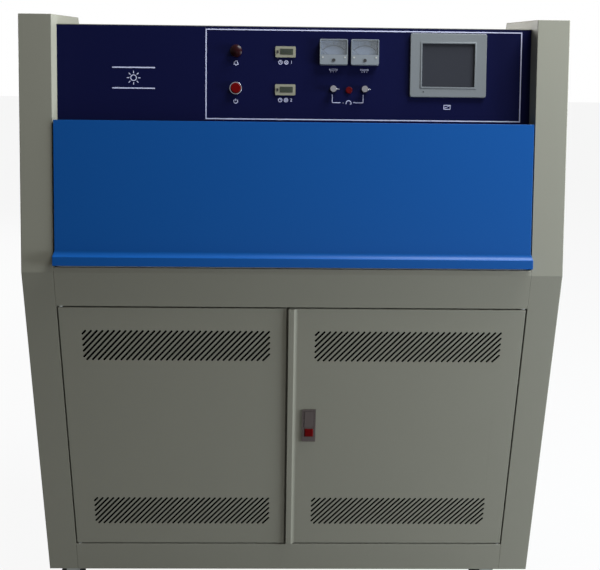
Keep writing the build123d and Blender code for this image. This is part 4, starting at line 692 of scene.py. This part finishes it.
    def bends(self, piece: Piece, least: float, reach: float) -> int:
        """Selects the outer folds between a piece's wide faces, and stays in edit mode.

        Args:
            piece: The piece.
            least: Shortest edge that counts.
            reach: Least depth of the faces on both sides of an edge.

        Returns:
            How many edges it selected.
        """
        mesh = self._edit(piece, Pick.EDGES)
        count = 0
        for edge in mesh.edges:
            if len(edge.link_faces) != 2 or edge.calc_length() < least:
                continue
            sharp = edge.calc_face_angle_signed(0.0) > FOLD_ANGLE
            if sharp and all(self._depth(face, edge) > reach for face in edge.link_faces):
                edge.select_set(True)
                count += 1
        bmesh.update_edit_mesh(piece.data)
        return count

    def _depth(self, face: bmesh.types.BMFace, edge: bmesh.types.BMEdge) -> float:
        """Gives how far a face reaches away from one of its edges."""
        start = edge.verts[0].co
        way = (edge.verts[1].co - start).normalized()
        offsets = (vertex.co - start for vertex in face.verts)
        return max((offset - way * offset.dot(way)).length for offset in offsets)

    def even(self, piece: Piece) -> None:
        """Shades a piece smooth over its small faces and flat over its wide ones."""
        self.take(piece)
        bpy.ops.object.shade_smooth_by_angle(angle=SMOOTH_ANGLE)
        evened = piece.modifiers.new("even_light", "WEIGHTED_NORMAL")
        evened.keep_sharp = True
        evened.weight = WIDE_FACE_WEIGHT
        bpy.ops.object.modifier_apply(modifier=evened.name)

    def finish(
        self, piece: Piece, finish: Finish | ZonedFinish, body: str, slot: str, smooth: bool = True
    ) -> None:
        """Dresses a piece and hangs it on its body.

        Args:
            piece: The piece.
            finish: Its finish.
            body: Body of the CAD frame that it moves with.
            slot: Material slot that it belongs to; not used.
            smooth: Whether its shallow edges are shaded smooth.
        """
        self.take(piece)
        if smooth:
            bpy.ops.object.shade_smooth_by_angle(angle=SMOOTH_ANGLE)
        piece.data.materials.clear()
        piece.data.materials.append(finish.material())
        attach(piece, body)
        LOG.info("piece %s on body %s", piece.name, body)


BENCH = Bench()


# Printed marks, drawn in the control panel's own frame and then set on it


def set_on_panel(piece: Piece, finish: Finish, slot: str, smooth: bool = True) -> None:
    """Sets a piece on the control panel and dresses it.

    Args:
        piece: The piece, in the panel's own frame.
        finish: Its finish.
        slot: Material slot that it belongs to.
        smooth: Whether its shallow edges are shaded smooth.
    """
    BENCH.place(piece, MACHINE.panel())
    BENCH.finish(piece, finish, "cabinet", slot, smooth)


@dataclass
class Print:
    """Thin marks on a flat face: lines, rings and numbers."""

    lift: float = 0.0001
    thickness: float = 0.00015
    corner_share: float = 0.15
    marks: list[Piece] = field(default_factory=list)

    def line(self, start: Flat, stop: Flat, width: float) -> None:
        """Adds a straight line with cut corners.

        Args:
            start: First end.
            stop: Other end.
            width: Width of the line.
        """
        length = ((stop[0] - start[0]) ** 2 + (stop[1] - start[1]) ** 2) ** 0.5
        mark = BENCH.box(
            "mark",
            (-length / 2, -width / 2, self.lift),
            (length / 2, width / 2, self.lift + self.thickness),
        )
        BENCH.bevel(mark, width * self.corner_share, 1, lies_along_z)
        turn = atan2(stop[1] - start[1], stop[0] - start[0])
        middle = Vector(((start[0] + stop[0]) / 2, (start[1] + stop[1]) / 2, 0))
        BENCH.place(mark, Matrix.Translation(middle) @ Matrix.Rotation(turn, 4, "Z"))
        self.marks.append(mark)

    def path(self, points: Sequence[Flat], width: float) -> None:
        """Adds lines from point to point."""
        for start, stop in zip(points, points[1:]):
            self.line(start, stop, width)

    def frame(self, low: Flat, high: Flat, width: float) -> None:
        """Adds a rectangle of lines by an inset and a bridge.

        Args:
            low: Outer lower left corner.
            high: Outer upper right corner.
            width: Width of the lines.
        """
        mark = BENCH.box("mark", (*low, self.lift), (*high, self.lift + self.thickness))
        BENCH.hollow(mark, width)
        self.marks.append(mark)

    def ring(self, at: Flat, outer: float, width: float, sides: int = 40) -> None:
        """Adds a ring."""
        centre = (*at, self.lift + self.thickness / 2)
        self.marks.append(BENCH.ring("mark", centre, outer, outer - width, self.thickness, sides))

    def arc(self, at: Flat, radius: float, width: float, span: Flat, sides: int = 24) -> None:
        """Adds an arc as short lines.

        Args:
            at: Centre.
            radius: Radius of its middle line.
            width: Width of the line.
            span: First and last angle, in radians.
            sides: Number of lines.
        """
        points = []
        for i in range(sides + 1):
            turn = span[0] + (span[1] - span[0]) * i / sides
            points.append((at[0] + radius * cos(turn), at[1] + radius * sin(turn)))
        self.path(points, width)

    def text(self, text: str, at: Flat, height: float) -> None:
        """Adds plain numbers or a generic mark."""
        self.marks.append(BENCH.words("mark", text, at, height, self.lift + INK))

    def done(self, name: str, finish: Finish, slot: str) -> None:
        """Joins the marks and sets them on the panel.

        Args:
            name: Name of the piece.
            finish: Finish of the marks.
            slot: Material slot of the marks.
        """
        set_on_panel(BENCH.join(name, self.marks), finish, slot, smooth=False)


# Sheet parts, mouldings and pads


def stand_in(piece: Piece, node: str, body: str) -> None:
    """Dresses a copy like its CAD node and puts it in the node's place.

    Args:
        piece: The copy.
        node: The node.
        body: Body that it moves with.
    """
    BENCH.finish(piece, FINISHES[node], body, node, smooth=False)
    BENCH.even(piece)
    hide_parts(node)


@dataclass
class FoldedSheets:
    """Sheet-metal parts again, with the rounded bends that a press brake leaves."""

    bend: float = 0.0019
    lip_bend: float = 0.0009
    steps: int = 3
    least: float = 0.004
    reach: float = 0.006
    parts: tuple[tuple[str, str, float], ...] = (
        ("left_side_cover", "cabinet", bend),
        ("right_side_cover", "cabinet", bend),
        ("base_frame", "cabinet", bend),
        ("cabinet_rails", "cabinet", bend),
        ("rear_panels", "cabinet", bend),
        ("left_cabinet_door", "left_cabinet_door", bend),
        ("right_cabinet_door", "right_cabinet_door", bend),
        ("front_door", "front_door", lip_bend),
        ("rear_door", "rear_door", lip_bend),
    )

    def build(self) -> None:
        """Rounds each part's bends and puts it in its node's place."""
        for node, body, radius in self.parts:
            piece = BENCH.twin(node, f"{node}_folded")
            count = BENCH.bends(piece, self.least, self.reach)
            bpy.ops.mesh.bevel(
                offset=radius, segments=self.steps, affect="EDGES", clamp_overlap=True
            )
            BENCH.leave()
            LOG.info("%s has %d bends", node, count)
            stand_in(piece, node, body)


@dataclass
class SoftenedParts:
    """Moulded and turned parts again, with their sharp edges broken."""

    parts: tuple[tuple[str, str, float], ...] = (
        ("latch_body", "right_cabinet_door", 0.0012),
        ("latch_lever", "latch_lever", 0.0007),
        ("latch_button", "latch_button", 0.0026),
        ("touchscreen_bezel", "cabinet", 0.0014),
        ("power_bezel", "cabinet", 0.0009),
        ("reset_button", "reset_button", 0.0012),
        ("left_knob", "left_knob", 0.0005),
        ("right_knob", "right_knob", 0.0005),
        ("lamp_ballasts", "cabinet", 0.0010),
        ("switchgear", "cabinet", 0.0008),
        ("water_tank", "cabinet", 0.0030),
        ("pan_heater", "cabinet", 0.0003),
    )
    steps: int = 3

    def build(self) -> None:
        """Breaks each part's edges and puts it in its node's place."""
        for node, body, radius in self.parts:
            piece = BENCH.twin(node, f"{node}_softened")
            BENCH.soften(piece, radius, self.steps)
            stand_in(piece, node, body)


@dataclass
class VentPads:
    """Near-black pads behind each field of slots, with a clip frame: painted shade, a dark sheet that
    stands for the shade inside the cabinet.
    """

    centre_x: float = 0.286
    heights: Flat = (0.746, 0.2755)
    width: float = 0.477
    height: float = 0.095
    front: float = -0.2736
    depth: float = 0.007
    clip: float = 0.006
    edge: float = 0.0008

    def build(self) -> None:
        """Builds the pads of the two lower doors and of the rear panel."""
        for side, body in ((-1, "left_cabinet_door"), (1, "right_cabinet_door")):
            for level, height in enumerate(self.heights):
                name = f"{body}_{'lower' if level else 'upper'}_filter"
                self._pad(name, side * self.centre_x, height, Matrix(), body, body)
        for side in (-1, 1):
            for level, height in enumerate(self.heights):
                name = f"rear_filter_{'right' if side < 0 else 'left'}_{level + 1}"
                self._pad(name, side * self.centre_x, height, REAR, "cabinet", "rear_panels")

    def _pad(self, name: str, x: float, z: float, turn: Matrix, body: str, slot: str) -> None:
        """Builds one pad with its clip frame.

        Args:
            name: Its name.
            x: Its middle across.
            z: Its middle upwards.
            turn: Turns it to its side of the machine.
            body: Body that it moves with.
            slot: Material slot that it belongs to.
        """
        low = (x - self.width / 2, self.front, z - self.height / 2)
        high = (x + self.width / 2, self.front + self.depth, z + self.height / 2)
        pad = BENCH.box(name, low, high)
        BENCH.inset(pad, lambda middle, way: way.y > NEARLY, self.clip, 0.0)
        BENCH.extrude(
            pad,
            lambda middle, way: way.y > NEARLY and abs(middle.x - x) < self.width / 2 - self.clip,
            (0.0, -self.depth / 3, 0.0),
        )
        BENCH.soften(pad, self.edge)
        BENCH.place(pad, turn)
        # The pad's near-black finish is painted shade behind the slots.
        BENCH.finish(pad, VENT_SHADE_BLACK, body, slot)


# Control panel


@dataclass
class PanelPrint:
    """White print on the control panel: outline, title lines and generic signs."""

    outline: tuple[Flat, Flat] = ((-0.2156, 0.004), (0.5509, 0.2194))
    outline_width: float = 0.0026
    title_x: Flat = (-0.4406, -0.3374)
    title_heights: Flat = (0.1255, 0.0762)
    title_width: float = 0.0029
    stroke: float = 0.0015
    fine: float = 0.0012
    grid: float = 0.001
    sun_radius: float = 0.0078
    sun_rays: Flat = (0.0105, 0.0165)
    sun_stroke: float = 0.002
    sun_ray_count: int = 8
    bell_at: Flat = (-0.142, 0.1395)
    bell: tuple[Flat, ...] = (
        (-6, -4), (-4, -1.5), (-3.4, 2.2), (-1.2, 4.4), (1.2, 4.4), (3.4, 2.2), (4, -1.5), (6, -4), (-6, -4)
    )
    clapper: tuple[Flat, Flat] = ((-1.6, -6.2), (1.6, -6.2))
    power_at: Flat = (-0.1425, 0.0475)
    power_radius: float = 0.0048
    power_gap: Flat = (radians(125), radians(415))
    power_bar: tuple[Flat, Flat] = ((0, 1), (0, 6.8))
    number_height: float = 0.0075
    sign_height: float = 0.006
    hours_x: float = -0.0227
    hours_s: Flat = (0.1415, 0.0515)
    hours_radius: float = 0.0052
    hours_signs: tuple[Flat, ...] = ((-12, 0), (2, 0), (14.5, 0))
    clock_hands: tuple[Flat, ...] = ((-12, 3.4), (-12, 0), (-9.5, 0))
    cross_reach: float = 0.0042
    tubes_x: Flat = (0.0934, 0.1687)
    tubes_s: float = 0.1255
    tube: tuple[Flat, Flat] = ((-10, -1.8), (10, 1.8))
    tube_stroke: float = 0.0009
    tube_rays: Flat = (-3.4, -6.2)
    tube_rays_x: tuple[int, ...] = (-6, 0, 6)
    brackets: tuple[Flat, Flat] = ((0.0915, 0.1115), (0.1665, 0.1465))
    bracket_s: Flat = (0.0665, 0.0468)
    turn_at: Flat = (0.1314, 0.0455)
    turn_radius: float = 0.0062
    turn_span: Flat = (radians(200), radians(-20))
    turn_tip: tuple[Flat, ...] = ((3.2, -1.2), (5.8, -2.3), (7, 0.3))
    turn_signs: Flat = (0.1184, 0.1444)
    screen_at: Flat = (0.3714, 0.0385)
    screen: tuple[Flat, Flat] = ((-8.5, -5.5), (8.5, 5.5))
    curve: tuple[Flat, ...] = ((-6, -2.5), (-3, 0.5), (-0.5, -1), (2, 2.2), (5.5, 2.2))

    def build(self) -> None:
        """Draws the print."""
        ink = Print()
        ink.frame(*self.outline, self.outline_width)
        for height in self.title_heights:
            ink.line((self.title_x[0], height), (self.title_x[1], height), self.title_width)
        self._sun(ink)
        ink.path(self._points(self.bell_at, self.bell), self.stroke)
        ink.line(*self._points(self.bell_at, self.clapper), self.stroke)
        ink.arc(self.power_at, self.power_radius, self.stroke, self.power_gap)
        ink.line(*self._points(self.power_at, self.power_bar), self.stroke)
        for lamp, s in enumerate(self.hours_s, start=1):
            self._lamp_hours(ink, (self.hours_x, s), lamp)
        for x in self.tubes_x:
            self._tube(ink, (x, self.tubes_s))
        self._knob_brackets(ink)
        ink.frame(*self._points(self.screen_at, self.screen), self.stroke)
        ink.path(self._points(self.screen_at, self.curve), self.fine)
        ink.done("panel_print", WHITE_PRINT, "control_panel")

    def _points(self, at: Flat, steps: Sequence[Flat]) -> list[Flat]:
        """Points of a sign, from its middle and steps on its millimetre grid."""
        return [(at[0] + self.grid * across, at[1] + self.grid * up) for across, up in steps]

    def _sun(self, ink: Print) -> None:
        """Rays round a disc, between the title lines."""
        at = (sum(self.title_x) / 2, sum(self.title_heights) / 2)
        ink.ring(at, self.sun_radius, self.sun_stroke)
        for i in range(self.sun_ray_count):
            turn = 2 * pi * i / self.sun_ray_count
            way = Vector((cos(turn), sin(turn)))
            start, stop = (tuple(Vector(at) + reach * way) for reach in self.sun_rays)
            ink.line(start, stop, self.sun_stroke)

    def _lamp_hours(self, ink: Print, at: Flat, lamp: int) -> None:
        """Clock, lamp sign and the bank's number under an hour meter."""
        clock, sign, number = self._points(at, self.hours_signs)
        ink.ring(clock, self.hours_radius, self.stroke)
        ink.path(self._points(at, self.clock_hands), self.fine)
        ink.ring(sign, self.hours_radius, self.stroke)
        for turn in (pi / 4, 3 * pi / 4):
            reach = self.cross_reach * Vector((cos(turn), sin(turn)))
            ink.line(tuple(Vector(sign) - reach), tuple(Vector(sign) + reach), self.fine)
        ink.text(str(lamp), number, self.number_height)

    def _tube(self, ink: Print, at: Flat) -> None:
        """Straight lamp with rays under a meter."""
        ink.frame(*self._points(at, self.tube), self.tube_stroke)
        for across in self.tube_rays_x:
            ink.line(*self._points(at, [(across, up) for up in self.tube_rays]), self.fine)

    def _knob_brackets(self, ink: Print) -> None:
        """Lines down from the knobs and inwards, with a turning sign between them."""
        high, low = self.bracket_s
        for x, inward in self.brackets:
            ink.path([(x, high), (x, low), (inward, low)], self.stroke)
        ink.arc(self.turn_at, self.turn_radius, self.stroke, self.turn_span)
        ink.path(self._points(self.turn_at, self.turn_tip), self.stroke)
        for x, text in zip(self.turn_signs, "-+"):
            ink.text(text, (x, low), self.sign_height)


@dataclass
class HourMeters:
    """Displays and rims of the two lamp hour meters."""

    x: float = -0.0227
    stations: Flat = (0.166, 0.0758)
    width: float = 0.049
    height: float = 0.026
    front: float = 0.003
    window_across: Flat = (0.26, 0.84)
    window_up: Flat = (0.30, 0.72)
    rim: float = 0.0014
    rim_lift: Flat = (-0.0004, 0.0007)
    rim_sink: float = 0.0006
    rim_edge: float = 0.0002
    pane: float = 0.0003
    pane_rim: Flat = (0.0006, 0.0001)
    digits: str = "00000"
    digit_height: float = 0.0062

    def build(self) -> None:
        """Builds both displays."""
        for name, s in zip(("upper", "lower"), self.stations):
            self._rim(name, s)
            self._display(name, s)

    def _window(self, s: float) -> tuple[Flat, Flat]:
        """Lower left and upper right corner of a display's window."""
        left = self.x - self.width / 2
        low = s - self.height / 2
        corners = zip(self.window_across, self.window_up)
        return tuple((left + across * self.width, low + up * self.height) for across, up in corners)

    def _rim(self, name: str, s: float) -> None:
        """Raised rim round the window."""
        low, high = self._window(s)
        rim = BENCH.box(
            f"{name}_hour_meter_rim",
            (low[0] - self.rim, low[1] - self.rim, self.front + self.rim_lift[0]),
            (high[0] + self.rim, high[1] + self.rim, self.front + self.rim_lift[1]),
        )
        BENCH.inset(rim, looks_up, self.rim, -self.rim_sink)
        BENCH.soften(rim, self.rim_edge)
        set_on_panel(rim, BLACK_PLASTIC, "hour_meters")

    def _display(self, name: str, s: float) -> None:
        """Pane with its numbers."""
        low, high = self._window(s)
        pane = BENCH.box(
            f"{name}_hour_meter_display", (*low, self.front), (*high, self.front + self.pane)
        )
        BENCH.inset(pane, looks_up, *self.pane_rim)
        set_on_panel(pane, LCD, "hour_meters")
        ink = Print(lift=self.front + self.pane + self.pane_rim[1])
        middle = ((low[0] + high[0]) / 2, (low[1] + high[1]) / 2)
        ink.text(self.digits, middle, self.digit_height)
        ink.done(f"{name}_hour_meter_numbers", PRINT_BLACK, "hour_meters")


@dataclass
class PanelMeters:
    """Scales on the two dials, and caps over the zero screws."""

    centres: Flat = (0.0934, 0.1687)
    s: float = 0.1657
    pivot: float = -0.0201
    dial: float = 0.0031
    radius: float = 0.0365
    span: Flat = (radians(135), radians(45))
    arc_width: float = 0.0011
    divisions: int = 20
    per_number: int = 5
    ticks: Flat = (0.0036, 0.0019)
    tick_width: float = 0.0009
    number_reach: float = 0.0062
    number_height: float = 0.0042
    cap_radius: float = 0.0039
    cap_heights: Flat = (0.0121, 0.0134)
    cap_edge: float = 0.0002
    cap_sides: int = 32

    def build(self) -> None:
        """Draws both scales and caps the zero screws."""
        for name, x in zip(("left", "right"), self.centres):
            at = (x, self.s + self.pivot)
            self._zero_cap(f"{name}_zero_cap", at)
            ink = Print(lift=self.dial)
            ink.arc(at, self.radius, self.arc_width, self.span)
            for i in range(self.divisions + 1):
                long = i % self.per_number == 0
                outer = self.radius + self.ticks[0 if long else 1]
                start = self._on_scale(at, i, self.radius)
                ink.line(start, self._on_scale(at, i, outer), self.tick_width)
            for i in range(0, self.divisions + 1, self.per_number):
                place = self._on_scale(at, i, self.radius + self.number_reach)
                ink.text(str(i // self.per_number), place, self.number_height)
            ink.done(f"{name}_meter_scale", PRINT_BLACK, "meter_dials")

    def _on_scale(self, at: Flat, division: int, reach: float) -> Flat:
        """Point of a scale, at a division and a distance from the needle's pivot."""
        turn = self.span[0] + (self.span[1] - self.span[0]) * division / self.divisions
        return (at[0] + reach * cos(turn), at[1] + reach * sin(turn))

    def _zero_cap(self, name: str, at: Flat) -> None:
        """Black dished cap over a needle's zero screw."""
        low, high = self.cap_heights
        centre = (at[0], at[1], (low + high) / 2)
        cap = BENCH.rod(name, centre, self.cap_radius, high - low, self.cap_sides)
        BENCH.inset(cap, looks_up, self.cap_radius / 4, -self.cap_edge)
        BENCH.soften(cap, self.cap_edge)
        set_on_panel(cap, BLACK_PLASTIC, "meter_cases")


@dataclass
class Touchscreen:
    """Border and lamp of the touchscreen."""

    at: Flat = (0.3714, 0.1376)
    screen: Flat = (0.1276, 0.1037)
    front: float = 0.006
    border: float = 0.004
    border_lift: Flat = (-0.0005, 0.0008)
    border_edge: float = 0.0005
    lamp: Flat = (0.312, 0.074)
    lamp_radius: float = 0.0016
    lamp_depth: float = 0.0012
    lamp_edge: float = 0.0004
    lamp_sides: int = 24

    def build(self) -> None:
        """Builds the step round the screen and the small lamp."""
        half_w = self.screen[0] / 2 + self.border
        half_h = self.screen[1] / 2 + self.border
        x, s = self.at
        low, high = (self.front + lift for lift in self.border_lift)
        step = BENCH.box(
            "touchscreen_step", (x - half_w, s - half_h, low), (x + half_w, s + half_h, high)
        )
        BENCH.hollow(step, self.border)
        BENCH.soften(step, self.border_edge)
        set_on_panel(step, HMI_PLASTIC, "touchscreen_bezel")
        centre = (*self.lamp, self.front)
        lamp = BENCH.rod(
            "touchscreen_lamp", centre, self.lamp_radius, self.lamp_depth, self.lamp_sides
        )
        BENCH.soften(lamp, self.lamp_edge)
        set_on_panel(lamp, PRINT_BLACK, "touchscreen_bezel")


# Studio


@dataclass(frozen=True)
class Softbox:
    """Square soft lamp: its place, side in metres, power in watts and tint."""

    name: str
    at: Point
    size: float
    power: float
    tint: tuple[float, float, float] = (1.0, 1.0, 1.0)


@dataclass
class Studio:
    """Pale floor, soft lamps and a white surround."""

    softboxes: tuple[Softbox, ...] = (
        Softbox("key_softbox", (3.1, -1.0, 1.05), 1.4, 185.0, (0.82, 0.91, 1.0)),
        Softbox("front_softbox", (0.9, -4.2, 0.5), 2.4, 30.0, (1.0, 0.96, 0.89)),
        Softbox("top_softbox", (1.2, -0.15, 3.4), 1.2, 185.0, (0.9, 0.96, 1.0)),
        Softbox("rear_softbox", (-1.2, 4.2, 2.4), 2.4, 150.0),
        Softbox("left_softbox", (-3.4, 1.9, 1.8), 1.6, 90.0),
    )
    aim: Point = (0.0, 0.0, 0.8)
    surround: float = 0.04
    floor_size: float = 40.0
    floor_share: float = 0.92
    floor_bounce: float = 0.3

    def build(self) -> None:
        """Builds floor, lamps and surround."""
        self._floor()
        for softbox in self.softboxes:
            self._lamp(softbox)
        self._surround()

    def _floor(self) -> None:
        """Pale floor that keeps the shadow and looks white to the camera."""
        BENCH.clear()
        bpy.ops.mesh.primitive_plane_add(size=self.floor_size, location=(0, 0, 0))
        floor = bpy.context.object
        floor.name = "studio_floor"
        white = known_material("studio_floor_white", self._floor_surface)
        floor.data.materials.append(white)

    def _floor_surface(self, tree: Tree) -> Node:
        """Mixes a pale surface, which keeps shadows, with white for the camera alone."""
        seen = add_node(tree, "LightPath").outputs["Is Camera Ray"]
        share = maths(tree, "MULTIPLY", seen, self.floor_share)
        plain = add_node(tree, "BsdfDiffuse", {"Color": (*[self.floor_bounce] * 3, 1)})
        white = add_node(tree, "Emission", {"Strength": 1.0})
        return mix_shaders(tree, share, plain, white)

    def _lamp(self, softbox: Softbox) -> None:
        """Adds a softbox that looks at the machine."""
        BENCH.clear()
        bpy.ops.object.light_add(type="AREA", location=softbox.at)
        lamp = bpy.context.object
        lamp.name = softbox.name
        lamp.data.energy = softbox.power
        lamp.data.size = softbox.size
        lamp.data.color = softbox.tint
        way = Vector(self.aim) - Vector(softbox.at)
        lamp.rotation_euler = way.to_track_quat("-Z", "Y").to_euler()

    def _surround(self) -> None:
        """World that lights softly and looks white, in metal and through panes too."""
        world = bpy.data.worlds.new("studio_surround")
        bpy.context.scene.world = world
        world.use_nodes = True
        tree = world.node_tree
        tree.nodes.clear()
        rays = add_node(tree, "LightPath").outputs
        seen: float | Socket = 0.0
        for kind in ("Camera", "Glossy", "Transmission"):
            seen = maths(tree, "MAXIMUM", seen, rays[f"Is {kind} Ray"])
        soft, white = (
            add_node(tree, "Background", {"Color": (1, 1, 1, 1), "Strength": strength})
            for strength in (self.surround, 1.0)
        )
        mix = mix_shaders(tree, seen, soft, white)
        add_node(tree, "OutputWorld", {"Surface": mix.outputs[0]})


@dataclass
class Viewpoint:
    """Camera at the photograph's angle."""

    at: Point = (-0.0438, -2.010, 1.456)
    lens: float = 45.36
    sensor: float = 36.0
    tilt: float = radians(17.4)
    yaw: float = radians(0.95)
    roll: float = radians(0.70)
    shift: Flat = (0.0215, -0.0047)

    def build(self) -> None:
        """Adds the camera and makes it the scene's."""
        BENCH.clear()
        bpy.ops.object.camera_add(location=self.at)
        camera = bpy.context.object
        camera.name = "photo_camera"
        camera.data.sensor_fit = "HORIZONTAL"
        camera.data.sensor_width = self.sensor
        camera.data.lens = self.lens
        camera.data.shift_x, camera.data.shift_y = self.shift
        ahead = Vector(
            (sin(self.yaw) * cos(self.tilt), cos(self.yaw) * cos(self.tilt), -sin(self.tilt))
        )
        right = Vector((cos(self.yaw), -sin(self.yaw), 0))
        up = right.cross(ahead)
        turned_right = right * cos(self.roll) + up * sin(self.roll)
        turned_up = up * cos(self.roll) - right * sin(self.roll)
        columns = Matrix((turned_right, turned_up, -ahead)).transposed().to_4x4()
        columns.translation = Vector(self.at)
        camera.matrix_world = columns
        bpy.context.scene.camera = camera


def dress_frame() -> None:
    """Gives every CAD node its finish through its object's material slots."""
    for name, node in frame["nodes"].items():
        finish = FINISHES[name]
        if not node.material_slots:
            node.data.materials.append(None)
        for place in node.material_slots:
            place.link = "OBJECT"
            place.material = finish.material()
    LOG.info("dressed %d nodes", len(frame["nodes"]))


def main() -> None:
    """Builds the sub-assemblies in order."""
    logging.basicConfig(level=logging.INFO, format="%(message)s")
    dress_frame()
    builders: Iterable[object] = (
        FoldedSheets(),
        SoftenedParts(),
        VentPads(),
        PanelPrint(),
        HourMeters(),
        PanelMeters(),
        Touchscreen(),
        Studio(),
        Viewpoint(),
    )
    for builder in builders:
        builder.build()
        LOG.info("built %s", type(builder).__name__)
    bpy.context.scene.view_settings.view_transform = "Standard"


if __name__ == "__main__":
    main()
